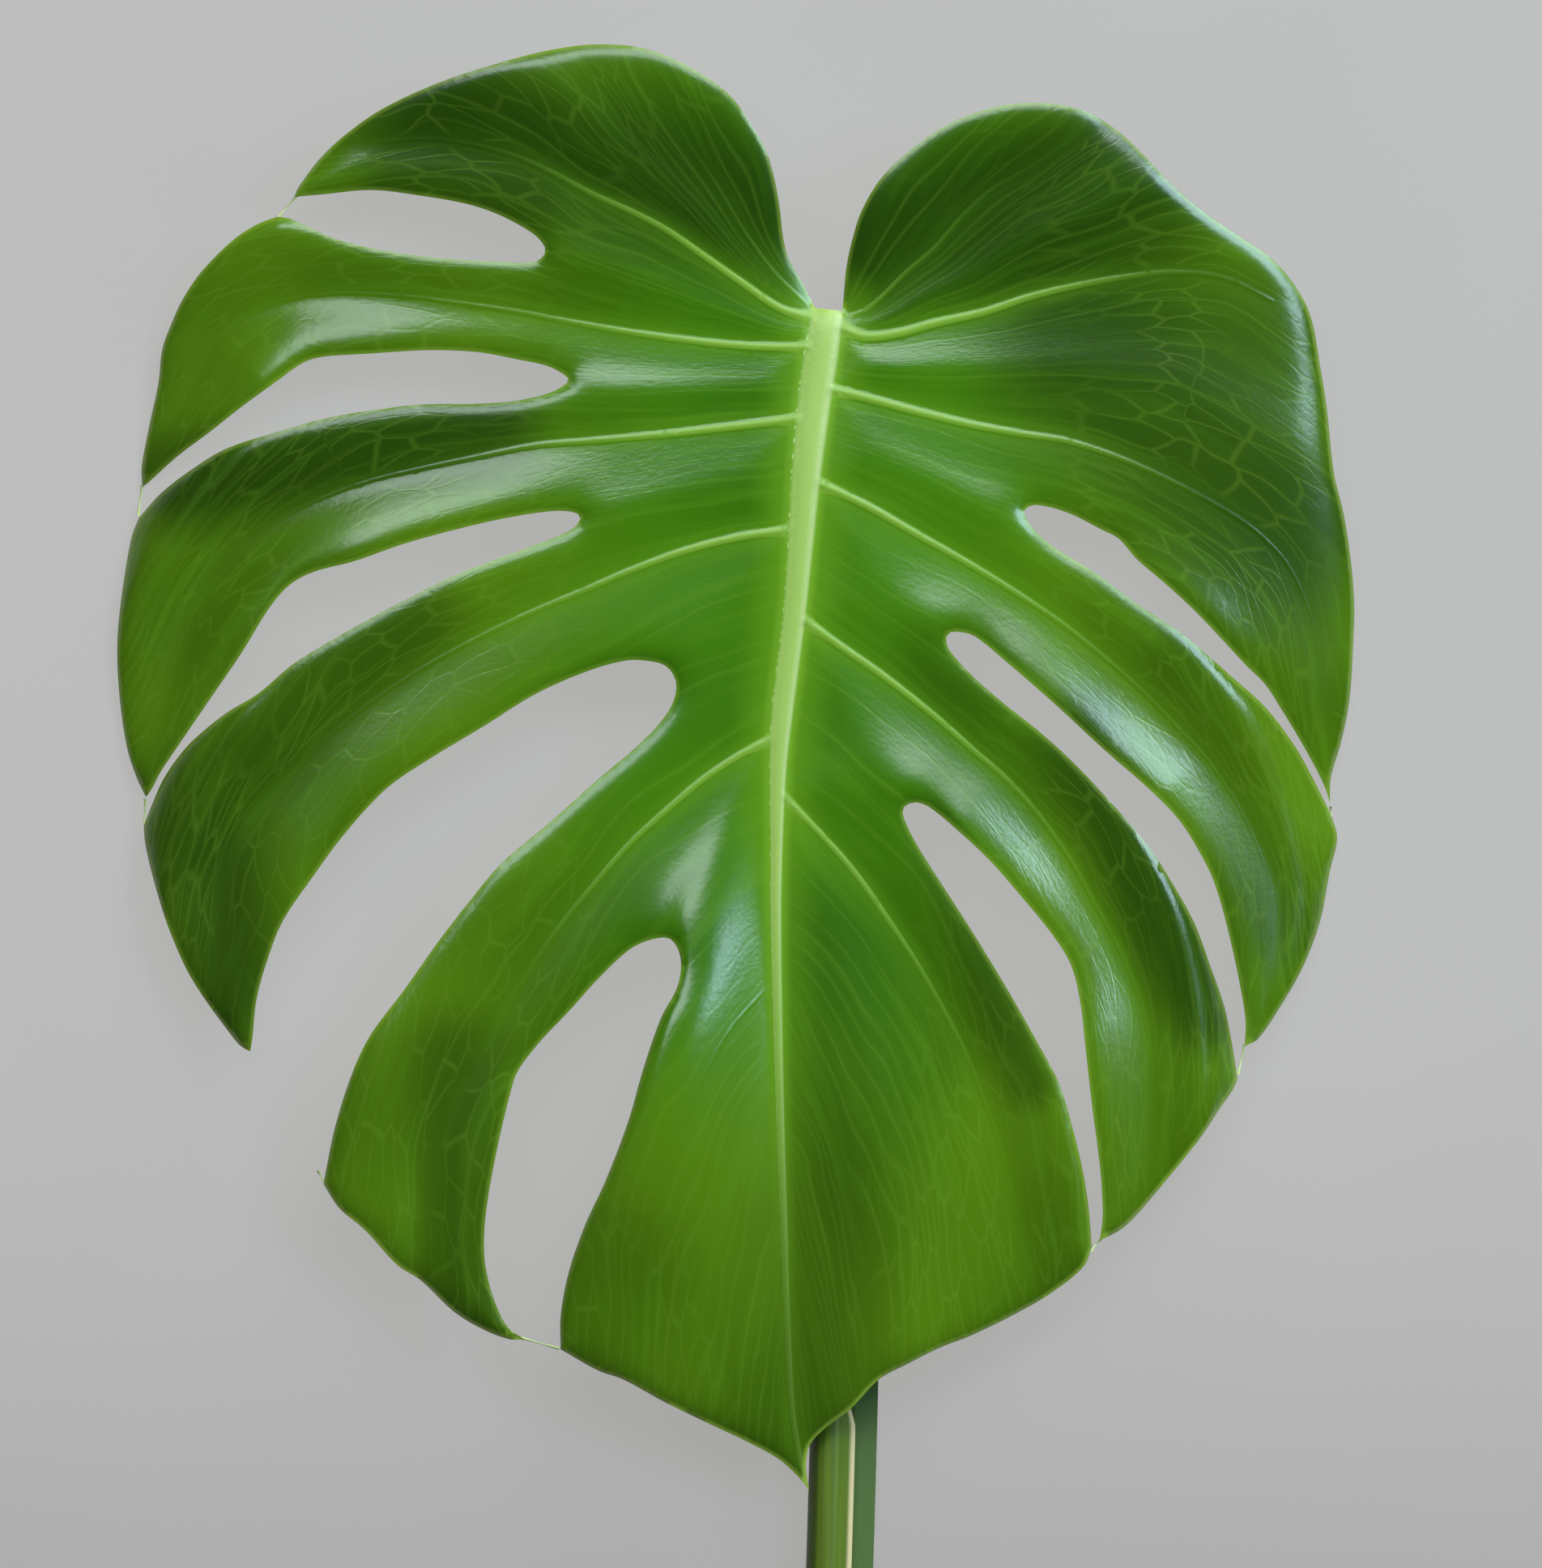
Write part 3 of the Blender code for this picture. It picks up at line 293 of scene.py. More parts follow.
SLOT_3_LEFT = [
    (-166.4, -117.2), (-164.2, -113), (-160, -106.8), (-152, -95.2), (-144, -83.6), (-137.1, -72.5),
    (-132, -66.8), (-126, -63.7), (-116, -61.1), (-104, -56.9), (-92, -53.6), (-80, -50.8),
    (-68, -48.9), (-62.2, -49.1), (-60.4, -50.3), (-62.2, -53), (-68, -55.8), (-80, -60.2),
    (-92, -64.9), (-104, -70.8), (-112, -75.1), (-124, -81.9), (-132, -87), (-140, -93.8),
    (-148, -98.6), (-156, -105.1), (-160, -109.6), (-163.6, -115), (-166.4, -121.2), (-168.4, -126.4),
]
LOBE_4_LEFT = [
    (-168, -131), (-165.4, -141.4), (-162.2, -151.4), (-157.6, -162), (-153, -169.4), (-146.8, -177.8),
    (-144.4, -180.6), (-142, -181.9),
]
SLOT_4_LEFT = [
    (-141.4, -178.2), (-140.4, -169), (-137.6, -159), (-133.8, -149.6), (-126, -138.2), (-120, -130),
    (-113, -121.8), (-106.8, -115.9), (-96, -108.8), (-84, -101.6), (-72, -94.1), (-60, -88.7),
    (-49.8, -85.7), (-44, -85.7), (-39.4, -87), (-37, -90.8), (-37.6, -95.6), (-40.8, -100.8),
    (-47.8, -107.8), (-56, -114.7), (-68, -125.4), (-80, -135.6), (-86.8, -143.6), (-95.2, -154.4),
    (-104, -166.8), (-112.2, -177.8), (-116.8, -187.4), (-121, -200.6), (-123.4, -212.2),
    (-123.8, -214.6),
]
LOBE_5_LEFT = [
    (-120, -220.4), (-113.6, -225.9), (-105.6, -234.6), (-100, -238.2), (-91.6, -246.1), (-84, -250.6),
    (-77.8, -252.8), (-74.4, -252.7),
]
SLOT_5_LEFT = [
    (-78.6, -249.6), (-82, -242.4), (-84, -234), (-84.2, -226.4), (-83.2, -217.4), (-80.8, -204.8),
    (-77.8, -192.2), (-76, -186.8), (-70.6, -179.6), (-63.4, -172), (-56, -163.8), (-48.2, -156.6),
    (-42.4, -154.1), (-38.2, -154.2), (-35.8, -159), (-36.6, -165.8), (-40.6, -173.4), (-45, -186),
    (-48.6, -198.6), (-54.4, -213.8), (-59.4, -224.6), (-63.4, -236.2), (-65.4, -247), (-65.4, -255.2),
]
CENTRAL_LEFT = [
    (-56.2, -260.4), (-50, -262.6), (-40, -268.1), (-28.4, -273.8), (-20, -277.8), (-12, -282.2),
    (-7.2, -286.4), (-4.2, -290),
]
CENTRAL_RIGHT = [
    (-5, -284.2), (-4, -278.8), (0, -274.5), (6, -269.9), (13, -262.6), (20, -258.8), (28, -254.8),
    (36, -251.7), (48, -245.8), (56, -241), (63.6, -234.6), (65.4, -230),
]
SLOT_3_RIGHT = [
    (64.6, -220.4), (63.2, -211.4), (60.4, -199.8), (57.2, -189.4), (52.2, -180), (44.8, -166.9),
    (36.6, -153.4), (28.4, -140.6), (22.2, -130.8), (19, -124.2), (18.8, -122.4), (19.6, -121.2),
    (22, -120.5), (25.2, -121.6), (31.6, -126.8), (40, -134.6), (48, -143.7), (56.2, -153.8),
    (60.4, -161), (62.6, -170.2), (63.8, -180.8), (65.4, -194.8), (67.4, -210.4), (68.1, -221.8),
    (67.4, -228.4),
]
LOBE_4_RIGHT = [
    (72.2, -226), (76, -222.7), (83.4, -214.1), (92, -203.4), (97.8, -194.8), (100.2, -191.5),
    (101.4, -188.6),
]
SLOT_2_RIGHT = [
    (100.2, -180.8), (98.2, -171), (94.8, -161.2), (90.8, -150.5), (85.8, -141.4), (79.2, -131.2),
    (69.4, -119.8), (60.4, -110.3), (52.2, -102.9), (44, -96.4), (36, -89.4), (30.4, -83.2),
    (29.4, -80.4), (30.2, -78.8), (33, -78.6), (36.6, -79.7), (44, -85.7), (56.2, -96.3),
    (68.2, -107.4), (80, -117.7), (87, -125), (92, -132.8), (95.6, -140.2), (98.6, -150.2),
    (101.8, -164.4), (103.4, -174.2), (103.2, -180.6),
]
LOBE_3_RIGHT = [
    (106.4, -179), (112, -171), (117.8, -160.8), (122, -149.6), (124.4, -137.4), (126.2, -129.2),
    (124.6, -123.4),
]
SLOT_1_RIGHT = [
    (119.8, -114), (115.6, -106.6), (108.4, -97.2), (100.2, -89.8), (88.2, -79.5), (76, -71.3),
    (65.4, -63.5), (56.2, -57.8), (50.6, -52.8), (48.6, -49.2), (49.4, -47.9), (52, -47.3),
    (59.6, -49.3), (67.8, -53.4), (72, -55.6), (76.4, -60.6), (83.4, -66.6), (91.6, -74.2),
    (103.8, -87.1), (108.2, -91.4), (111.9, -97), (118, -107), (122.8, -116), (124.4, -120.6),
]
LOBE_1_RIGHT = [
    (124.6, -114.4), (127.2, -105.4), (129.2, -95), (130.1, -80.4), (130.3, -71.4), (129.4, -60.6),
    (127.6, -49.2), (125.2, -39.3), (123.4, -23.2), (121.8, -13.2), (119.4, -0.8), (115.4, 6.9),
    (109.4, 13.6), (101.4, 19), (93.4, 24.4), (84.8, 31.6), (77.6, 39.2), (71.8, 44.6), (64.2, 49.2),
    (55.2, 51.3), (45.8, 51.2), (36, 48.8), (27.8, 45), (19.4, 38.8), (13.4, 32.9), (8.6, 24.8),
    (6.2, 17.2), (4.9, 10.8), (4.2, 3.2), NOTCH_RIGHT,
]
OUTLINE = [
    LOBE_1_LEFT, SLOT_1_LEFT, LOBE_2_LEFT, SLOT_2_LEFT, LOBE_3_LEFT, SLOT_3_LEFT, LOBE_4_LEFT,
    SLOT_4_LEFT, LOBE_5_LEFT, SLOT_5_LEFT, CENTRAL_LEFT, CENTRAL_RIGHT, SLOT_3_RIGHT,
    LOBE_4_RIGHT, SLOT_2_RIGHT, LOBE_3_RIGHT, SLOT_1_RIGHT, LOBE_1_RIGHT,
    [(0.6, 0.8), NOTCH_LEFT],
]
# Each run starts where the one before it ends
for before, run in zip(OUTLINE, OUTLINE[1:]):
    run.insert(0, before[-1])

SLOTS = [
    SLOT_1_LEFT, SLOT_2_LEFT, SLOT_3_LEFT, SLOT_4_LEFT, SLOT_5_LEFT, SLOT_3_RIGHT, SLOT_2_RIGHT,
    SLOT_1_RIGHT,
]

# Midrib: x, y and its half width
MIDRIB = [
    (0.4, -0.4, 3.4), (-1.2, -10.4, 3.8), (-2.8, -21.4, 3.7), (-5.2, -43, 3.2), (-6, -53.6, 2.9),
    (-8, -76, 2.5), (-10.8, -98.4, 2.4), (-11.8, -111.6, 1.9), (-12.2, -129.6, 1.4),
    (-12.4, -147.4, 1.2), (-11.8, -179.8, 1), (-11.2, -202.8, 0.9), (-10.4, -225.6, 0.8),
    (-9.6, -248.6, 0.7), (-8.2, -271.6, 0.6), (-5.6, -286, 0.5),
]

# Side veins, from the midrib out
LEFT_VEINS = [
    [(-4.6, 1.8), (-12.6, 9.8), (-19.8, 19.6), (-26.8, 31.2), (-34, 41.8), (-39.4, 50.8)],
    [
        (-3.6, -1.2), (-10.8, 0.8), (-21.6, 8), (-30.4, 14.2), (-39.4, 20.4), (-48.2, 25), (-57.2, 29),
        (-66.2, 33.8), (-72.4, 36.8), (-81.4, 40), (-96, 42.6), (-110, 42),
    ],
    [
        (-5, -8.6), (-21.6, -8), (-39.4, -6), (-52.8, -4), (-66.2, -1.6), (-76.8, 0.4), (-94.8, 3),
        (-108, 4.4), (-121.6, 4.8), (-135, 2.6), (-149, -5), (-157, -18),
    ],
    [
        (-6.4, -26), (-21.6, -27.8), (-39.4, -29.8), (-57.2, -31.4), (-71.6, -32.6), (-85.8, -35.4),
        (-99.2, -38.2), (-112.6, -41.4), (-126, -46.4), (-137.6, -52.8), (-147, -61), (-156, -74),
        (-162, -92),
    ],
    [
        (-10, -53.6), (-21.6, -55.2), (-35, -58.6), (-48.2, -63.4), (-59, -68), (-76, -75.2),
        (-94.8, -84.8), (-108, -93), (-121.6, -103.6), (-130.4, -112.6), (-141.2, -124), (-148, -138),
        (-149, -156),
    ],
    [
        (-14, -105.2), (-21.6, -109), (-30.4, -114.8), (-39.4, -122.4), (-48.2, -130.4),
        (-56.8, -140.2), (-66.4, -152), (-76.8, -167.6), (-85, -181), (-92.2, -194.2), (-98, -210),
        (-99, -226),
    ],
    [
        (-14.4, -166), (-23.6, -176.4), (-30.6, -189), (-38, -206), (-44, -228), (-46, -246),
    ],
]
RIGHT_VEINS = [
    [
        (4.4, -1.2), (9.4, 0.6), (13.8, 4.2), (20, 10.4), (26.4, 15.8), (33.4, 23.8), (40.6, 30.2),
        (49.6, 35.4), (60, 42),
    ],
    [
        (4, -3.8), (9.4, -5.8), (16.6, -5.2), (27.2, -2.4), (38.8, 0.2), (49.6, 3.8), (60.2, 6.4),
        (72, 8.6), (85.2, 10), (98, 8.6), (110, 3),
    ],
    [
        (1.4, -19), (9.4, -20.8), (22.8, -24.4), (36.2, -27.6), (49.6, -30), (59.6, -31.6), (73, -36),
        (85.8, -41.8), (99, -49), (107.2, -54.8), (114.4, -63), (120.4, -78), (122.6, -94),
    ],
    [
        (-1, -42.4), (9.8, -47.4), (23.2, -55), (36.6, -62.6), (50, -71), (60, -78), (70, -86.2),
        (78.2, -93.6), (86.4, -102), (94.8, -111.2), (104, -126), (110, -142.4), (110.4, -158),
    ],
    [
        (-6, -75.4), (5.2, -83.2), (14.2, -89.4), (27.6, -100), (36.6, -108), (44, -114.4),
        (51.6, -122.8), (59.6, -134), (65.8, -145.2), (73, -158.6), (78, -171.8), (80, -184),
        (80.6, -202),
    ],
    [
        (-9.8, -119.8), (-2, -127.6), (6.6, -137.2), (15, -149), (22, -159.6), (29, -171.8),
        (34.2, -182), (38.2, -192.2), (42.4, -204.4), (47, -222.4),
    ],
    [(-10.6, -172), (-3, -188.4), (4, -206.4), (9, -226.4), (11, -246.4)],
]

# Lines that only guide the fine veins: along the notch's margins and towards the tip, and how
# far each guide is carried on
LEFT_GUIDE_START = [(-2.0, 1.0), (-7.0, 10.0), (-10.2, 20.0), (-13.0, 35.0), (-21.0, 52.0)]
RIGHT_GUIDE_START = [(3.0, 1.0), (5.0, 12.0), (8.0, 24.0), (14.0, 34.0), (24.0, 46.0)]
TIP_GUIDE = [(-8.6, -264.0), (-6.4, -282.0), (-4.6, -296.0)]
LEFT_GUIDES_END = [
    [(-11.4, -205), (-18, -226), (-23, -248), (-26, -272)],
    [(-10, -238), (-13, -258), (-14, -280)],
    TIP_GUIDE,
]
RIGHT_GUIDES_END = [
    [(-11, -212), (-5, -236), (0, -258), (4, -276)],
    [(-10, -240), (-6, -260), (-3, -280)],
    TIP_GUIDE,
]
GUIDE_REACH = 60.0
# Fine veins between one guide and the next, from the notch to the tip
LEFT_FINE = [5, 9, 11, 12, 13, 13, 12, 8, 4, 3]
RIGHT_FINE = [6, 11, 13, 13, 12, 13, 11, 9, 5, 3]


def smooth_run(points, step):
    """A smooth curve through the points, with about one point every step millimetres."""
    known = np.array(points, float)
    padded = np.vstack([2 * known[0] - known[1], known, 2 * known[-1] - known[-2]])
    found = []
    for before, start, end, after in zip(padded, padded[1:], padded[2:], padded[3:]):
        gap = np.linalg.norm(end[:2] - start[:2])
        parts = max(2, math.ceil(gap / step))
        gap_before = np.linalg.norm(start[:2] - before[:2])
        gap_after = np.linalg.norm(after[:2] - end[:2])
        way_in = gap * (end - before) / (gap + gap_before)
        way_out = gap * (after - start) / (gap + gap_after)
        for t in np.arange(parts) / parts:
            found.append(
                (2 * t**3 - 3 * t**2 + 1) * start
                + (t**3 - 2 * t**2 + t) * way_in
                + (3 * t**2 - 2 * t**3) * end
                + (t**3 - t**2) * way_out
            )
    return np.array(found + [known[-1]])


def even_run(points, step):
    """Points along a smooth curve, evenly spaced."""
    fine = smooth_run(points, step / 12)
    along = np.append(0, np.cumsum(np.linalg.norm(np.diff(fine[:, :2], axis=0), axis=1)))
    places = np.linspace(0, along[-1], max(2, round(along[-1] / step) + 1))
    return np.column_stack([np.interp(places, along, column) for column in fine.T])


def run_length(points):
    return np.linalg.norm(np.diff(points[:, :2], axis=0), axis=1).sum()


def outline_points(step):
    """The closed outline, evenly spaced between its corners."""
    return np.vstack([even_run(run, step)[:-1] for run in OUTLINE])


def to_line(points, line):
    """Each point's distance to a line of points, how far along it the nearest place is, and
    on which side of it the point lies: 1 to its left and -1 to its right."""
    spots = line[:, :2]
    way = np.diff(spots, axis=0)
    length = np.linalg.norm(way, axis=1)
    before = np.append(0, np.cumsum(length))
    square = (spots**2).sum(axis=1)
    nearest = np.empty(len(points), int)
    chunk = 4000
    for first in range(0, len(points), chunk):
        part = slice(first, first + chunk)
        nearest[part] = (square - 2 * points[part, :2] @ spots.T).argmin(axis=1)
    found = []
    for piece in (np.clip(nearest - 1, 0, None), np.clip(nearest, None, len(way) - 1)):
        off = points[:, :2] - spots[piece]
        share = np.clip((off * way[piece]).sum(axis=1) / length[piece] ** 2, 0, 1)
        away = np.linalg.norm(off - share[:, None] * way[piece], axis=1)
        turn = way[piece, 0] * off[:, 1] - way[piece, 1] * off[:, 0]
        found.append((away, before[piece] + share * length[piece], np.where(turn > 0, 1, -1)))
    closer = found[0][0] < found[1][0]
    return [np.where(closer, first, second) for first, second in zip(*found)]


def inside(points, loop):
    """Which points lie within the closed loop."""
    x1, y1 = loop[:, 0], loop[:, 1]
    x2, y2 = np.roll(x1, -1), np.roll(y1, -1)
    rise = np.where(y2 == y1, 1, y2 - y1)
    within = np.empty(len(points), bool)
    chunk = 3000
    for first in range(0, len(points), chunk):
        part = slice(first, first + chunk)
        x, y = points[part, :1], points[part, 1:2]
        crosses = (y1 > y) != (y2 > y)
        within[part] = (crosses & (x < x1 + (y - y1) * (x2 - x1) / rise)).sum(axis=1) % 2 == 1
    return within


def rounded(distance, radius):
    return np.sqrt(distance**2 + radius**2) - radius


def faded(along, start, end):
    """1 up to start, 0 from end, smooth between them."""
    t = np.clip((along - start) / (end - start), 0, 1)
    return 1 - t * t * (3 - 2 * t)


def tapered(width, out):
    """Half a side vein's width, out millimetres along it."""
    taper = np.clip(1 - out / VEIN_REACH, 0, 1)
    return width * (VEIN_END_SHARE + (1 - VEIN_END_SHARE) * taper)


def cup_rise(cup, share, away, reach):
    """How much higher the blade gets where it steepens by a cup's share for each millimetre."""
    return cup * share * np.minimum(away, reach) ** 2 / 2


class Leaf:
    """The blade's own lines: its midrib, its margin, and the guides on each side of the midrib,
    which are its side veins and the lines that only lead its fine veins."""

    def __init__(self):
        self.midrib = smooth_run(MIDRIB, 2.0)
        edge = outline_points(2.0)
        self.edge = np.vstack([edge, edge[:1]])
        lengths = [run_length(even_run(run, 2.0)) for run in OUTLINE]
        ends = np.cumsum(lengths)
        self.slot_spans = [
            (end - length, end) for run, end, length in zip(OUTLINE, ends, lengths) if run in SLOTS
        ]
        left = [LEFT_GUIDE_START] + LEFT_VEINS + LEFT_GUIDES_END
        right = [RIGHT_GUIDE_START] + RIGHT_VEINS + RIGHT_GUIDES_END
        self.left = [self.stretched(guide) for guide in left]
        self.right = [self.stretched(guide) for guide in right]

    def middle(self, y):
        return np.interp(-y, -self.midrib[:, 1], self.midrib[:, 0])

    def half(self, y):
        return np.interp(-y, -self.midrib[:, 1], self.midrib[:, 2])

    def stretched(self, guide):
        """A guide from the midrib's middle to well past the margin."""
        line = smooth_run(guide, 2.0)
        start_y = line[0, 1] + 2
        start = np.array([[self.middle(start_y), start_y]])
        way = line[-1] - line[-3]
        steps = np.linspace(0, GUIDE_REACH, 12)[1:, None]
        return np.vstack([start, line, line[-1] + steps * way / np.linalg.norm(way)])


class Places:
    """Points of the blade, with how far each lies from the midrib, the veins and the margin."""

    def __init__(self, leaf, points):
        self.leaf = leaf
        self.points = points
        self.x, self.y = points[:, 0], points[:, 1]
        self.half = leaf.half(self.y)
        self.midrib_away = to_line(points, leaf.midrib)[0]
        self.beside = np.clip(self.midrib_away - self.half, 0, None)
        self.edge_away, edge_along, _ = to_line(points, leaf.edge)
        spans = [(edge_along > start) & (edge_along < end) for start, end in leaf.slot_spans]
        self.by_slot = np.any(spans, axis=0)
        self.on_left = self.x < leaf.middle(self.y)
        self.sides = [
            self.measured(self.on_left, leaf.left, 1),
            self.measured(~self.on_left, leaf.right, -1),
        ]

    def measured(self, chosen, guides, tip_side):
        """For the chosen points and each guide: how far away, how far along, and whether past
        it towards the tip."""
        found = [to_line(self.points[chosen], guide) for guide in guides]
        away = np.array([line[0] for line in found])
        along = np.array([line[1] for line in found])
        past = np.array([line[2] * tip_side > 0 for line in found])
        return chosen, away, along, past

    def lie(self):
        """The broad shape: a low crown that falls to the margins and the tip."""
        heights = smooth_run(SPINE, 2.0)
        spine = np.interp(-self.y, -heights[:, 0], heights[:, 1])
        middle = self.leaf.middle(self.y)
        reach = np.where(self.on_left, LEFT_REACH + middle, RIGHT_REACH - middle)
        margins = smooth_run(MARGINS, 4.0)
        left = np.interp(-self.y, -margins[:, 0], margins[:, 1])
        right = np.interp(-self.y, -margins[:, 0], margins[:, 2])
        margin = np.where(self.on_left, left, right)
        aside = np.abs(self.x - middle) / reach
        return spine - (spine - margin) * aside**CAMBER_POWER

    def quilt(self):
        """The rise from the veins and the roll at the margin, without the raised veins. Each
        vein counts by how near it is."""
        slopes = smooth_run(MIDRIB_SLOPES, 4.0)
        leftward = np.interp(-self.y, -slopes[:, 0], slopes[:, 1])
        rightward = np.interp(-self.y, -slopes[:, 0], slopes[:, 2])
        left_rise = self.risen(self.beside, leftward, MIDRIB_LEFT_REACH)
        start, full, leaving, end = MIDRIB_CUP_SPAN
        cupped = (1 - faded(-self.y, -start, -full)) * faded(-self.y, -leaving, -end)
        left_rise += cup_rise(MIDRIB_CUP, cupped, self.beside, MIDRIB_CUP_REACH)
        right_rise = self.risen(self.beside, rightward, MIDRIB_RIGHT_REACH)
        weight = (self.beside + BLEND_START) ** -BLEND_POWER
        rise = weight * np.where(self.on_left, left_rise, right_rise)
        both = zip(self.sides, (LEFT_SLOPES, RIGHT_SLOPES), ({}, RIGHT_CUPS))
        for (chosen, away, out, past), slopes, cups in both:
            for number, (notchward, tipward) in enumerate(slopes, 1):
                up = np.interp(out[number], SLOPE_PLACES, notchward)
                down = np.interp(out[number], SLOPE_PLACES, tipward)
                steep = np.where(past[number], down, up)
                risen = self.risen(away[number], steep, QUILT_REACH)
                cupped = past[number] * (1 - faded(out[number], *CUP_START))
                risen += cup_rise(cups.get(number, 0.0), cupped, away[number], CUP_REACH)
                near = (away[number] + BLEND_START) ** -BLEND_POWER
                rise[chosen] += near * risen
                weight[chosen] += near
        return rise / weight - ROLL_DROP * np.exp(-self.edge_away / ROLL_REACH)

    def risen(self, away, steep, reach):
        """How high the blade has risen at a distance from a vein."""
        return steep * reach * (1 - np.exp(-rounded(away, VALLEY_RADIUS) / reach))

    def vein_widths(self):
        """Half the width of the nearest side vein where it is nearest, how far off it is, and
        how far out along it."""
        width, away, along = np.zeros((3, len(self.x)))
        for side, widths in zip(self.sides, (LEFT_HALF_WIDTHS, RIGHT_HALF_WIDTHS)):
            chosen, aways, alongs, _ = side
            nearest = aways[1:len(widths) + 1].argmin(axis=0) + 1
            columns = np.arange(len(nearest))
            out = alongs[nearest, columns]
            width[chosen] = tapered(np.array(widths)[nearest - 1], out)
            away[chosen] = aways[nearest, columns]
            along[chosen] = out
        return width, away, along

    def ribs(self):
        """Heights of the raised veins on the upper face, and depths of the ribs under them."""
        across = np.clip(1 - (self.midrib_away / (MIDRIB_FOOT * self.half)) ** 2, 0, 1)
        width_share = self.half / self.leaf.midrib[:, 2].max()
        width, away, _ = self.vein_widths()
        share = np.clip(1 - (away / width) ** 2, 0, 1) * (width / max(RIGHT_HALF_WIDTHS)) ** 2
        crown = MIDRIB_RISE * across**MIDRIB_ROUNDING * width_share
        raised = np.maximum(crown, VEIN_RISE * share)
        deep = np.maximum(MIDRIB_DEPTH * across * width_share, VEIN_DEPTH * share)
        return raised, deep

    def faces(self):
        """Heights of the upper and the lower face."""
        raised, deep = self.ribs()
        skin = self.lie() + self.quilt()
        seat_away = np.hypot(self.x, self.y - SEAT_Y)
        seat = faded(seat_away, SEAT_RADIUS, SEAT_EDGE)
        upper = skin + raised
        lower = skin - BLADE_THICKNESS - deep
        lower = np.maximum(lower, 0) * (1 - seat) + SEAT_HEIGHT * seat
        upper = np.maximum(upper, lower + BLADE_THICKNESS)
        return upper, lower

    def flow(self):
        """Where each point lies among the fine veins: the number of the fine vein that it is
        at, how far out along it, and the gap from one fine vein to the next."""
        flow = np.zeros((len(self.x), 3))
        for side, fine in zip(self.sides, (LEFT_FINE, RIGHT_FINE)):
            chosen, away, along, past = side
            columns = np.arange(away.shape[1])
            nearest = away.argmin(axis=0)
            before = nearest - ~past[nearest, columns]
            before = np.clip(before, 0, len(away) - 2)
            first, second = away[before, columns], away[before + 1, columns]
            share = first / (first + second)
            number = np.append(0, np.cumsum(fine))[before]
            count = np.array(fine)[before]
            out = along[before, columns] * (1 - share) + along[before + 1, columns] * share
            flow[chosen] = np.column_stack([number + count * share, out, (first + second) / count])
        return flow


def gaps_between(points, others):
    """Each point's distance to the nearest of the others."""
    tree = KDTree(len(others))
    for number, (x, y) in enumerate(others):
        tree.insert((x, y, 0), number)
    tree.balance()
    return np.array([tree.find((x, y, 0))[2] for x, y in points])


def vein_rows(leaf, loop, step, shares):
    """Points along each vein, and beside it at shares of its half width."""
    lines = [even_run(MIDRIB, step)]
    for veins, widths in ((LEFT_VEINS, LEFT_HALF_WIDTHS), (RIGHT_VEINS, RIGHT_HALF_WIDTHS)):
        for vein, width in zip(veins, widths):
            line = even_run(vein, step)
            halves = np.maximum(tapered(width, step * np.arange(len(line))), ROW_HALF_WIDTH)
            lines.append(np.column_stack([line, halves]))
    rows = np.empty((0, 2))
    for line in lines:
        way = np.gradient(line[:, :2], axis=0)
        side = np.column_stack([-way[:, 1], way[:, 0]])
        side /= np.linalg.norm(side, axis=1)[:, None]
        found = np.vstack([line[:, :2] + share * line[:, 2:3] * side for share in shares])
        found = found[inside(found, loop)]
        found = found[to_line(found, leaf.edge)[0] > ROW_MARGIN]
        if len(rows):
            found = found[gaps_between(found, rows) > ROW_GAP]
        rows = np.vstack([rows, found])
    return rows


def face_triangles(leaf, loop, step, shares):
    """Points and triangles of one face: the loop's points first."""
    rows = vein_rows(leaf, loop, 1.2 * step, shares)
    low = loop.min(axis=0)
    high = loop.max(axis=0)
    grid = []
    for number, y in enumerate(np.arange(low[1], high[1], step * math.sqrt(0.75))):
        start = low[0] + step / 2 * (number % 2)
        grid += [(x, y) for x in np.arange(start, high[0], step)]
    grid = np.array(grid)
    grid = grid[inside(grid, loop)]
    grid = grid[to_line(grid, leaf.edge)[0] > 0.45 * step]
    grid = grid[gaps_between(grid, rows) > 0.6 * step]
    flat = np.vstack([loop, rows, grid])
    edges = [(i, (i + 1) % len(loop)) for i in range(len(loop))]
    spots, _, faces, _, _, _ = delaunay_2d_cdt([tuple(p) for p in flat], edges, [], 1, 1e-6)
    return np.array([tuple(spot) for spot in spots]), faces


def cloud(x, y, seed):
    """Smooth noise from about -1 to 1, over places a unit apart."""
    return np.array([noise.noise(Vector((a, b, seed))) for a, b in zip(x, y)]) * 1.6


def painted_shade(places):
    """How much of the deeper green of painted shade each point has, from 0 to 1."""
    pale = np.ones(len(places.x))
    for start, end, reach, share in PAINTED_SHADE_STREAKS:
        away = to_line(places.points, np.array([start, end]))[0]
        pale *= 1 - share * faded(away, SHADE_STREAK_FULL * reach, SHADE_STREAK_END * reach)
    return 1 - pale


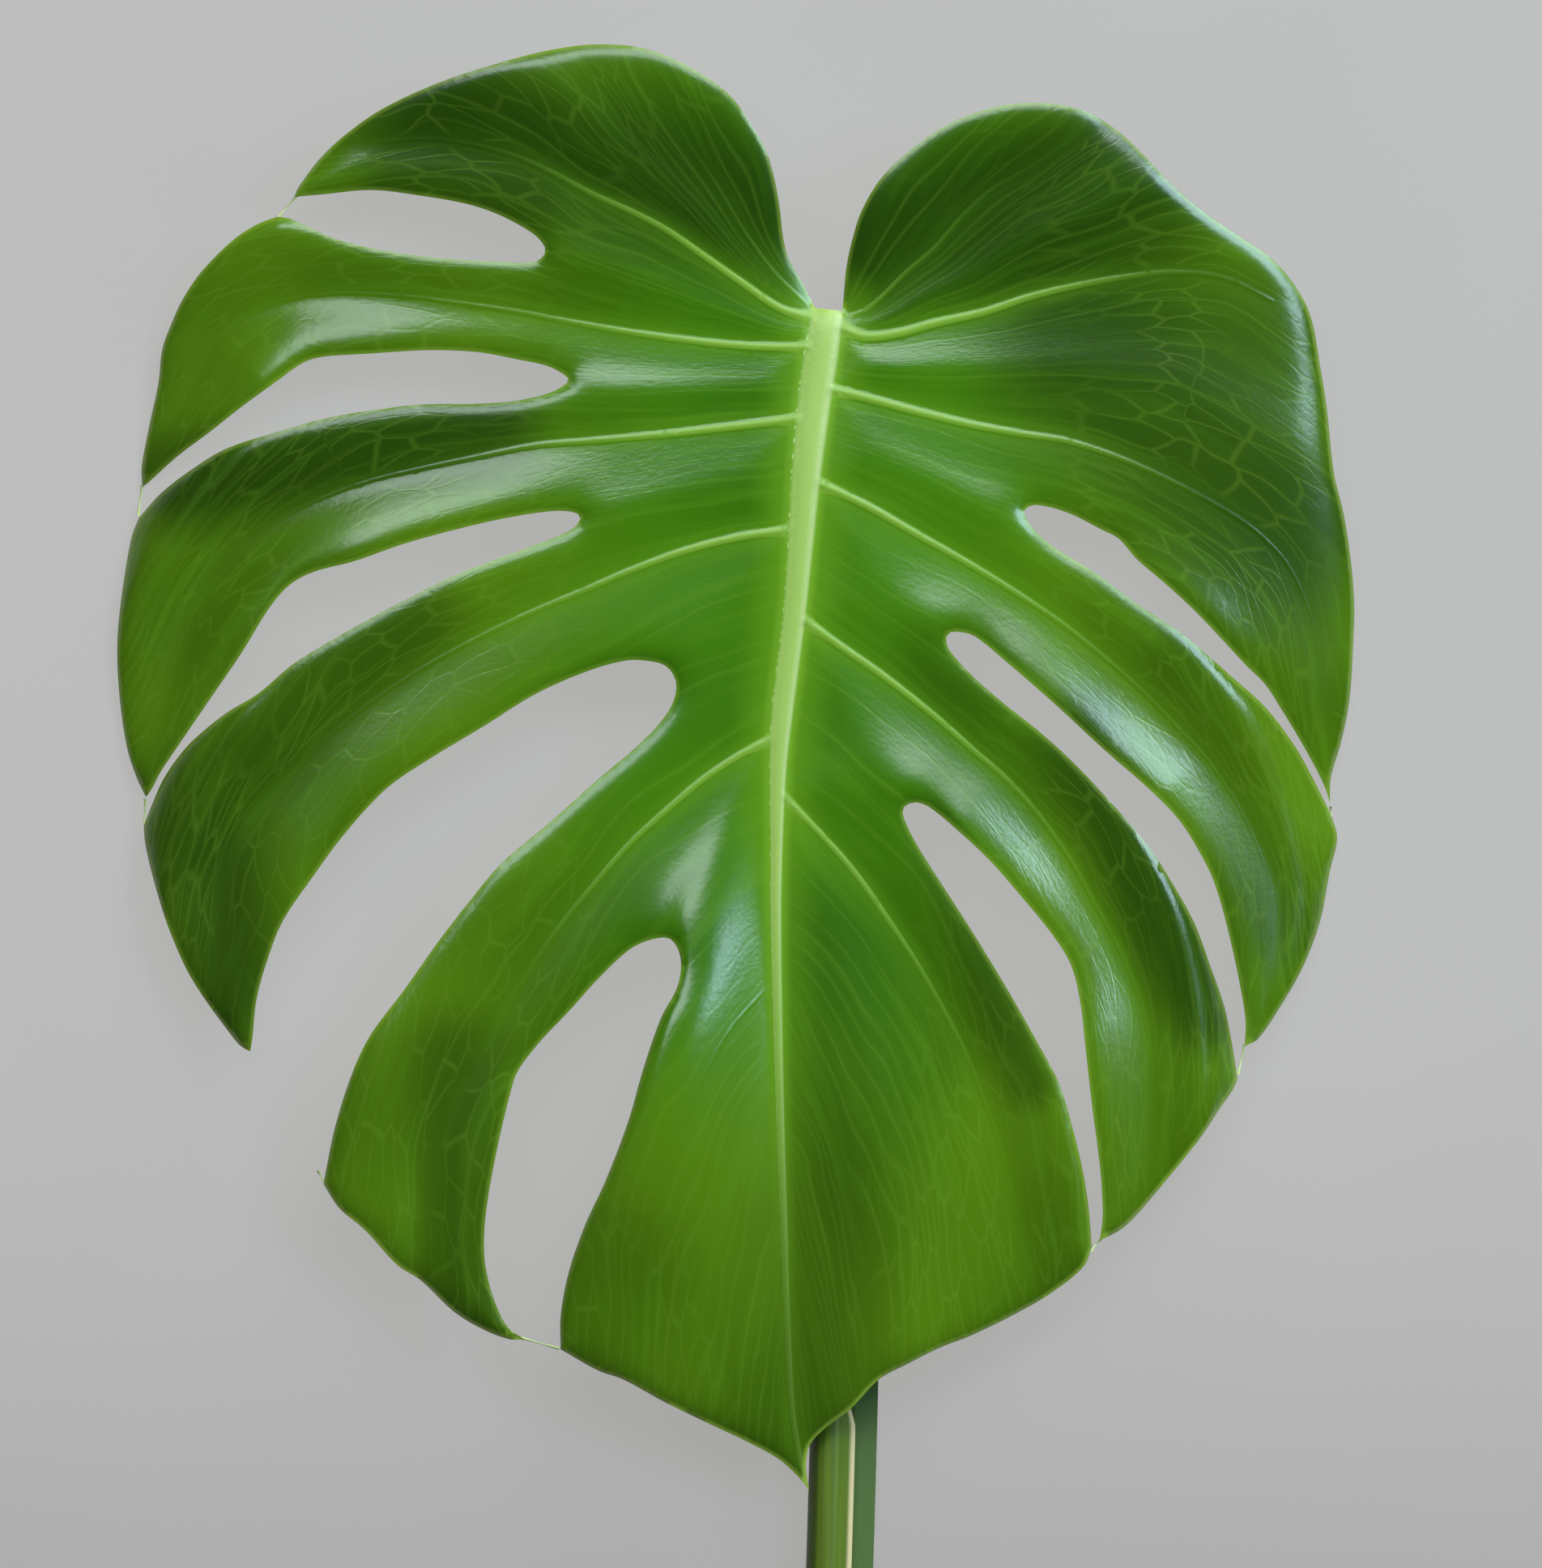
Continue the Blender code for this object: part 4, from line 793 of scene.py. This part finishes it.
def looks(places, under, thread=0.0):
    """What the blade's material reads at each point. A rim share of 2 or more means a thread."""
    number, out, gap = places.flow().T
    width, vein_away, vein_out = places.vein_widths()
    bent = number + cloud(number * 0.14, out * 0.016, 1.0)
    bent += 0.28 * cloud(number * 0.55, out * 0.06, 2.0)
    beyond = np.log1p(np.exp((out - CELL_CHANGE) / CELL_BLEND)) * CELL_BLEND
    links = out / NEAR_CELL + beyond / FAR_CELL
    across = places.x - places.leaf.middle(places.y)
    tip_share = faded(-places.y, TIP_RIM_START, TIP_RIM_END)
    rim = np.where(places.by_slot, SLOT_RIM, OUTER_RIM - TIP_RIM_LOSS * tip_share)
    return {
        "near": (places.beside, vein_away, places.edge_away),
        "flow": (bent, out, gap),
        "vein": (width, vein_out, across / places.half),
        "tone": (
            cloud(places.x / TONE_SPAN, places.y / TONE_SPAN, 3.0),
            cloud(places.x / PATCH_SPAN, places.y / PATCH_SPAN, 4.0),
            links,
        ),
        # The face's second number is the share of painted shade
        "face": (np.full(len(out), under), painted_shade(places), rim + 2 * thread),
    }


def blade_piece(leaf, material):
    loop = outline_points(EDGE_STEP)
    count = len(loop)
    top, top_faces = face_triangles(leaf, loop, UPPER_STEP, (-1.6, -1, -0.5, 0, 0.5, 1, 1.6))
    under, under_faces = face_triangles(leaf, loop, LOWER_STEP, (-1, 0, 1))
    top_places = Places(leaf, top)
    under_places = Places(leaf, under)
    upper = top_places.faces()[0]
    lower = under_places.faces()[1]
    vertices = np.vstack([np.column_stack([top, upper]), np.column_stack([under, lower])])
    shift = len(top)
    faces = [tuple(face) for face in top_faces]
    faces += [tuple(corner + shift for corner in reversed(face)) for face in under_faces]
    for a in range(count):
        b = (a + 1) % count
        faces.append((b, a, a + shift))
        faces.append((b, a + shift, b + shift))
    threads, thread_faces = thread_mesh(leaf)
    faces += [tuple(corner + len(vertices) for corner in face) for face in thread_faces]
    vertices = np.vstack([vertices, threads])
    piece = add_piece("leaf_blade", vertices, faces, material)
    upper_looks = looks(top_places, 0.0)
    lower_looks = looks(under_places, 1.0)
    thread_looks = looks(Places(leaf, threads[:, :2]), 0.0, 1.0)
    for name, values in upper_looks.items():
        store(piece, name, np.hstack([values, lower_looks[name], thread_looks[name]]).T)
    return piece


def thread_mesh(leaf):
    """Points and faces of the threads at the slots' ends, thinner in their middles."""
    points = []
    faces = []
    sides = THREAD_SIDES
    shares = np.linspace(0, 1, THREAD_RINGS)
    for start, end in THREADS:
        ends = np.array([start, end])
        upper, lower = Places(leaf, ends).faces()
        levels = (upper + lower) / 2
        way = (ends[1] - ends[0]) / np.linalg.norm(ends[1] - ends[0])
        side_way = np.array([-way[1], way[0], 0])
        first = len(points)
        for share in shares:
            flat = ends[0] * (1 - share) + ends[1] * share
            sag = THREAD_SAG * math.sin(math.pi * share)
            centre = np.array([*flat, levels[0] * (1 - share) + levels[1] * share - sag])
            radius = THREAD_RADIUS * (1 - THREAD_THINNING * math.sin(math.pi * share))
            for turn in np.arange(sides) * math.tau / sides:
                up = np.array([0, 0, math.sin(turn)])
                points.append(centre + radius * (math.cos(turn) * side_way + up))
        for ring in range(len(shares) - 1):
            for side in range(sides):
                a = first + ring * sides + side
                b = first + ring * sides + (side + 1) % sides
                faces.append((a, a + sides, b + sides, b))
        last = first + (len(shares) - 1) * sides
        faces.append(tuple(range(first, first + sides)))
        faces.append(tuple(reversed(range(last, last + sides))))
    return np.array(points), faces


def add_object(name, data):
    made = bpy.data.objects.new(name, data)
    bpy.context.scene.collection.objects.link(made)
    return made


def add_piece(name, vertices, faces, material):
    """A mesh piece, placed from leaf millimetres."""
    shifted = (np.asarray(vertices) + (NOTCH_X, NOTCH_Y, 0)) * MM
    mesh = bpy.data.meshes.new(name)
    mesh.from_pydata(shifted.tolist(), [], faces)
    mesh.materials.append(material)
    mesh.shade_smooth()
    mesh.set_sharp_from_angle(angle=math.radians(60))
    return add_object(name, mesh)


def store(piece, name, values):
    """Keeps a vector for each point of a piece, for its material to read."""
    kept = piece.data.attributes.new(name, "FLOAT_VECTOR", "POINT")
    kept.data.foreach_set("vector", np.asarray(values, np.float32).ravel())


def stalk_path():
    """Points of the stalk's axis from the blade down and then along the surface."""
    turn_top = STALK_RADIUS + BEND_RADIUS
    top = SEAT_HEIGHT + STALK_SUNK
    places = [(0.0, SEAT_Y, z) for z in np.linspace(top, turn_top, 8)[:-1]]
    for angle in np.linspace(0, math.pi / 2, 24):
        y = SEAT_Y - BEND_RADIUS * (1 - math.cos(angle))
        z = turn_top - BEND_RADIUS * math.sin(angle)
        places.append((0.0, y, z))
    line = smooth_run(STALK_LINE, 2.0)
    for y in np.linspace(STALK_LINE[0][1], STALK_LINE[-1][1], 180)[1:]:
        places.append((np.interp(-y, -line[:, 1], line[:, 0]), y, STALK_RADIUS))
    return np.array(places)


def stalk_section(radius, y):
    """Across and up offsets of one ring: a round stalk, with the wings where it has them."""
    turn = np.arange(STALK_SIDES) * math.tau / STALK_SIDES
    ring = radius * np.column_stack([np.cos(turn), np.sin(turn)])
    for (start, full), wing in ((LOWER_WING_Y, LOWER_WING), (UPPER_WING_Y, UPPER_WING)):
        share = 1 - faded(-y, -start, -full)
        for side, corner in wing.items():
            ring[side] += share * (np.array(corner) - ring[side])
    return ring


def stalk_piece(material):
    path = stalk_path()
    way = np.gradient(path, axis=0)
    along = np.append(0, np.cumsum(np.linalg.norm(np.diff(path, axis=0), axis=1)))
    radius = np.interp(along, *zip(*STALK_RADII))
    right = np.array([1.0, 0.0, 0.0])
    shares = np.arange(STALK_PARTS) / STALK_PARTS
    rings = []
    for place, direction, size in zip(path, way, radius):
        up = np.cross(direction / np.linalg.norm(direction), right)
        section = stalk_section(size, place[1])
        closed = np.vstack([section, section[:1]])
        fine = np.vstack([closed[:-1] * (1 - share) + closed[1:] * share for share in shares])
        fine = fine.reshape(STALK_PARTS, STALK_SIDES, 2).transpose(1, 0, 2).reshape(-1, 2)
        rings.append(place + fine[:, :1] * right + fine[:, 1:] * up)
    rings = np.array(rings)
    rings[..., 2] = np.where(rings[..., 2] < STALK_FLAT, 0, rings[..., 2])
    sides = rings.shape[1]
    faces = []
    for ring in range(len(rings) - 1):
        for side in range(sides):
            a = ring * sides + side
            b = ring * sides + (side + 1) % sides
            faces.append((a, b, b + sides, a + sides))
    faces.append(tuple(reversed(range(sides))))
    faces.append(tuple((len(rings) - 1) * sides + side for side in range(sides)))
    piece = add_piece("leaf_stalk", rings.reshape(-1, 3), faces, material)
    around = np.tile(np.arange(sides) / STALK_PARTS, len(rings))
    out = np.repeat(along, sides)
    y = np.repeat(path[:, 1], sides)
    store(piece, "round", np.column_stack([around, out, y]))
    return piece


def linear(red, green, blue):
    """A colour as it looks on a screen, 0 to 255, turned into the light that it stands for."""
    seen = np.array([red, green, blue]) / 255
    light = np.where(seen <= 0.04045, seen / 12.92, ((seen + 0.055) / 1.055) ** 2.4)
    return (*light.tolist(), 1.0)


class Shader:
    """A material and short ways to add nodes to it."""

    def __init__(self, name):
        self.material = bpy.data.materials.new(name)
        self.material.use_nodes = True
        self.tree = self.material.node_tree
        self.surface = self.tree.nodes["Principled BSDF"]

    def put(self, socket, value):
        """Links a socket to another, or sets it. A colour is given as it looks on a screen."""
        if isinstance(value, bpy.types.NodeSocket):
            self.tree.links.new(value, socket)
        else:
            socket.default_value = linear(*value) if socket.type == "RGBA" else value

    def give(self, name, value):
        """Sets one of the surface's inputs."""
        self.put(self.surface.inputs[name], value)

    def node(self, kind, inputs, **settings):
        made = self.tree.nodes.new(kind)
        for name, value in settings.items():
            setattr(made, name, value)
        for key, value in inputs.items():
            self.put(made.inputs[key], value)
        return made

    def math(self, operation, *values):
        made = self.node("ShaderNodeMath", dict(enumerate(values)), operation=operation)
        return made.outputs[0]

    def chain(self, operation, values):
        found = values[0]
        for value in values[1:]:
            found = self.math(operation, found, value)
        return found

    def total(self, *values):
        return self.chain("ADD", values)

    def product(self, *values):
        return self.chain("MULTIPLY", values)

    def band(self, value, start, end):
        """0 at start, 1 at end, smooth between them."""
        inputs = {0: value, 1: min(start, end), 2: max(start, end)}
        inputs.update({3: 0.0, 4: 1.0} if start < end else {3: 1.0, 4: 0.0})
        made = self.node("ShaderNodeMapRange", inputs, interpolation_type="SMOOTHSTEP")
        return made.outputs[0]

    def parts(self, name):
        """The three numbers of a stored vector."""
        found = self.node("ShaderNodeAttribute", {}, attribute_name=name)
        split = self.node("ShaderNodeSeparateXYZ", {0: found.outputs["Vector"]})
        return split.outputs[0], split.outputs[1], split.outputs[2]

    def vector(self, x, y, z=0.0):
        return self.node("ShaderNodeCombineXYZ", {0: x, 1: y, 2: z}).outputs[0]

    def noise(self, vector, scale, detail=2.0):
        """Smooth noise between about 0 and 1."""
        inputs = {"Vector": vector, "Scale": scale, "Detail": detail}
        return self.node("ShaderNodeTexNoise", inputs, noise_dimensions="3D").outputs[0]

    def mix(self, share, first, second):
        """From the first colour at 0 to the second at 1."""
        made = self.node("ShaderNodeMix", {0: share, 6: first, 7: second}, data_type="RGBA")
        return made.outputs[2]

    def place(self, scale=1.0):
        """Places on the piece, in metres times the scale."""
        place = self.node("ShaderNodeTexCoord", {}).outputs["Object"]
        return self.node("ShaderNodeVectorMath", {0: place, 3: scale}, operation="SCALE").outputs[0]

    def along_y(self, place):
        return self.node("ShaderNodeSeparateXYZ", {0: place}).outputs[1]

    def relief(self, *heights):
        """Bumps from the sum of heights in millimetres."""
        inputs = {"Height": self.total(*heights), "Distance": MM, "Strength": 1.0}
        self.give("Normal", self.node("ShaderNodeBump", inputs).outputs[0])


def fine_line(shader, number, gap, width):
    """1 on the lines at whole numbers, which are width millimetres wide, and 0 between them."""
    offset = shader.math("SUBTRACT", number, shader.math("ROUND", number))
    away = shader.product(shader.math("ABSOLUTE", offset), gap)
    return shader.band(away, width, 0.0)


def vein_net(shader, across, along, width):
    """1 on the borders of a net of cells one unit wide and long. The width is in units too."""
    net = shader.node(
        "ShaderNodeTexVoronoi",
        {"Vector": shader.vector(across, along), "Scale": 1.0, "Randomness": 0.9},
        feature="DISTANCE_TO_EDGE",
        voronoi_dimensions="2D",
    )
    return shader.band(shader.math("DIVIDE", net.outputs["Distance"], width), 1.0, 0.0)


def fine_veins(shader):
    """How strongly each place shows a fine vein: one of the long lines beside the side veins, or
    of the net that they join into."""
    band, product = shader.band, shader.product
    beside_midrib, beside_vein, _ = shader.parts("near")
    number, out, gap = shader.parts("flow")
    _, patch, links = shader.parts("tone")
    line_number = shader.math("ROUND", number)
    chance = shader.node("ShaderNodeTexWhiteNoise", {1: line_number}, noise_dimensions="1D")
    lines = fine_line(shader, number, gap, FINE_LINE_WIDTH)
    lines = product(lines, band(chance.outputs[0], 0.1, 0.9), 0.8)
    width = shader.math("DIVIDE", NET_LINE_WIDTH, gap)
    net = vein_net(shader, product(number, 1.05), product(links, 0.85), width)
    net = product(net, band(out, 30.0, 90.0), band(patch, -1.1, 0.3))
    web = shader.math("MAXIMUM", lines, net)
    return product(web, band(beside_vein, 0.6, 3.0), band(beside_midrib, 0.0, 3.0))


def skin_green(shader, y):
    """The green between the veins: yellower far out, darker in its streaks of painted shade, and finely
    brushed.
    """
    band, mix, product = shader.band, shader.mix, shader.product
    number, out, _ = shader.parts("flow")
    tone = shader.parts("tone")[0]
    # deep: how much painted shade, a deeper green standing for shade, each place has
    deep = shader.parts("face")[1]
    inner = mix(band(tone, -0.8, 0.8), *INNER_GREENS)
    outer = mix(band(tone, -0.8, 0.8), *OUTER_GREENS)
    away = shader.math("MAXIMUM", band(out, 25.0, 95.0), band(y, -20.0, -90.0))
    green = mix(deep, mix(away, inner, outer), PAINTED_SHADE_GREEN)
    brushed = shader.noise(shader.vector(product(number, 0.9), product(out, 0.02)), 1.0)
    share = shader.math("SUBTRACT", 0.35, product(deep, 0.26))
    return mix(product(band(brushed, 0.45, 0.75), share), green, BRUSHED_GREEN)


def veined_green(shader, green, web, y):
    """The green with its paler veins on it, and how strongly each place is on a raised one."""
    band, mix, product = shader.band, shader.mix, shader.product
    beside_midrib, beside_vein, _ = shader.parts("near")
    vein_width, vein_out, midrib_across = shader.parts("vein")
    green = mix(product(web, 0.14), green, NET_GREEN)
    bold = band(vein_width, 0.3, 1.0)
    halo = product(band(beside_vein, 6.0, 0.0), band(vein_out, 150.0, 20.0), bold, 0.38)
    green = mix(halo, green, VEIN_HALO_GREEN)

    # The midrib pales towards the notch
    fresh = shader.total(0.12, product(band(y, -125.0, 25.0), 0.88))
    for reach, share, colour in MIDRIB_HALOS:
        green = mix(product(band(beside_midrib, reach, 0.0), fresh, share), green, colour)

    # Each side vein, wider where it leaves the midrib
    flare = shader.total(1.2, product(band(vein_out, 12.0, 2.0), 0.9))
    core = shader.math("DIVIDE", beside_vein, product(vein_width, flare))
    core = product(band(core, 1.0, 0.45), bold, band(vein_out, 118.0, 10.0))
    green = mix(core, green, VEIN_GREEN)

    # The midrib, painted paler along its right side as a painted highlight, with painted highlights in
    # fine dashes along its left foot
    sideways = shader.math("ABSOLUTE", midrib_across)
    midrib = product(band(sideways, 1.22, 0.85), fresh)
    # Its right side is painted paler, as a painted highlight
    green = mix(midrib, green, mix(band(midrib_across, 0.3, 0.9), *MIDRIB_GREEN_AND_HIGHLIGHT))
    # Painted highlights: pale dashes along the midrib's left foot
    highlight_dashes = band(shader.noise(shader.vector(y, 0.0), 0.55, 1.0), 0.52, 0.60)
    away = shader.math("ABSOLUTE", shader.total(midrib_across, MIDRIB_FOOT))
    highlight_dashes = product(highlight_dashes, band(away, 0.09, 0.02), fresh)
    return mix(highlight_dashes, green, DASH_HIGHLIGHT_GREEN), shader.math("MAXIMUM", core, midrib)


def blade_material():
    shader = Shader("blade_green")
    band, mix, product = shader.band, shader.mix, shader.product
    place = shader.place(1 / MM)
    y = shader.along_y(place)
    beside_edge = shader.parts("near")[2]
    number, out, _ = shader.parts("flow")
    under, _, rim_share = shader.parts("face")
    web = fine_veins(shader)
    green, ribs = veined_green(shader, skin_green(shader, y), web, y)
    green = mix(product(band(beside_edge, 1.3, 0.2), rim_share), green, RIM_GREEN)
    green = mix(band(rim_share, 1.5, 2.0), green, THREAD_GREEN)
    green = mix(product(under, 0.55), green, UNDERSIDE_GREEN)
    shader.give("Base Color", green)
    grain = shader.noise(place, 0.9, 2.0)
    rough = shader.total(0.17, product(grain, 0.08), product(under, 0.25), product(ribs, 0.20))
    shader.give("Roughness", rough)
    shader.give("Specular IOR Level", 0.6)
    # The fine veins are faint grooves, and the skin between them has a fine grain
    brushed = shader.noise(shader.vector(product(number, 3.0), product(out, 0.35)), 1.0)
    shader.relief(product(web, -0.012), product(grain, 0.022), product(brushed, 0.03))
    return shader.material


def stalk_material():
    shader = Shader("stalk_green")
    band, mix, product = shader.band, shader.mix, shader.product
    around, out, y = shader.parts("round")
    streak = shader.noise(shader.vector(product(around, 1.1), product(out, 0.01)), 1.0, 3.0)
    green = mix(band(streak, 0.3, 0.7), *STALK_GREENS)
    sheath = product(band(around, 21.5, 22.0), band(y, -120.0, -200.0))
    green = mix(sheath, green, SHEATH_GREEN)
    # Painted shade: darker down the stalk's left side and under it
    stalk_shade = product(band(around, 6.5, 9.5), band(around, 20.0, 15.0), 0.8)
    green = mix(stalk_shade, green, STALK_SHADE_GREEN)
    cream = product(band(around, 0.6, 1.0), band(around, 2.6, 2.2), band(y, -267.0, -272.0))
    shader.give("Base Color", mix(cream, green, SHEATH_CREAM))
    grain = shader.noise(shader.place(1 / MM), 1.2, 3.0)
    shader.give("Roughness", shader.total(0.38, product(grain, 0.15)))
    ridges = shader.noise(shader.vector(product(around, 4.0), product(out, 0.02)), 1.0, 2.0)
    shader.relief(product(grain, 0.03), product(ridges, 0.025))
    return shader.material


def floor_material():
    """Pale paper that glows a little, with painted shade that darkens it towards the front."""
    shader = Shader("floor_paper")
    place = shader.place()
    tone = shader.mix(shader.noise(place, 9.0, 4.0), *FLOOR_GREYS)
    # Painted shade, darker towards the front
    tone = shader.mix(shader.band(shader.along_y(place), -0.02, -0.30), tone, FRONT_SHADE_GREY)
    shader.give("Base Color", shader.mix(0.5, tone, PAPER_GREY))
    shader.give("Emission Color", tone)
    shader.give("Emission Strength", 4.1)
    shader.give("Roughness", 0.9)
    return shader.material


def add_floor(material):
    mesh = bpy.data.meshes.new("floor")
    corners = [(-1, -1), (1, -1), (1, 1), (-1, 1)]
    places = [(x * FLOOR_REACH, y * FLOOR_REACH, -FLOOR_DROP) for x, y in corners]
    mesh.from_pydata(places, [], [(0, 1, 2, 3)])
    mesh.materials.append(material)
    floor = add_object("floor", mesh)


def add_lights():
    """A dim sky, and soft lights that face the leaf."""
    world = bpy.data.worlds.new("studio")
    world.use_nodes = True
    sky = world.node_tree.nodes["Background"].inputs
    sky["Color"].default_value = (0.90, 0.94, 1.0, 1)
    sky["Strength"].default_value = 0.05
    bpy.context.scene.world = world
    for name, place, size, power, colour in SOFTBOXES:
        light = bpy.data.lights.new(name, "AREA")
        light.shape = "RECTANGLE"
        light.size, light.size_y = size
        light.energy = power
        light.color = colour
        lamp = add_object(name, light)
        lamp.location = place
        lamp.rotation_euler = (-lamp.location).to_track_quat("-Z", "Y").to_euler()


def add_camera():
    """Straight above the leaf, framed as the photograph is."""
    data = bpy.data.cameras.new("camera")
    data.sensor_width = 36.0
    data.lens = 600.0
    data.clip_end = 50.0
    placed = add_object("camera", data)
    x, y = (FRAME_X + NOTCH_X) * MM, (FRAME_Y + NOTCH_Y) * MM
    placed.location = (x, y, FRAME_SIZE * MM * data.lens / data.sensor_width)
    bpy.context.scene.camera = placed


def main():
    bpy.context.scene.view_settings.view_transform = "Standard"
    leaf = Leaf()
    blade = blade_piece(leaf, blade_material())
    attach(blade, "root")
    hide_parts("blade")
    stalk = stalk_piece(stalk_material())
    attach(stalk, "root")
    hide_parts("petiole")
    add_floor(floor_material())
    add_lights()
    add_camera()


main()
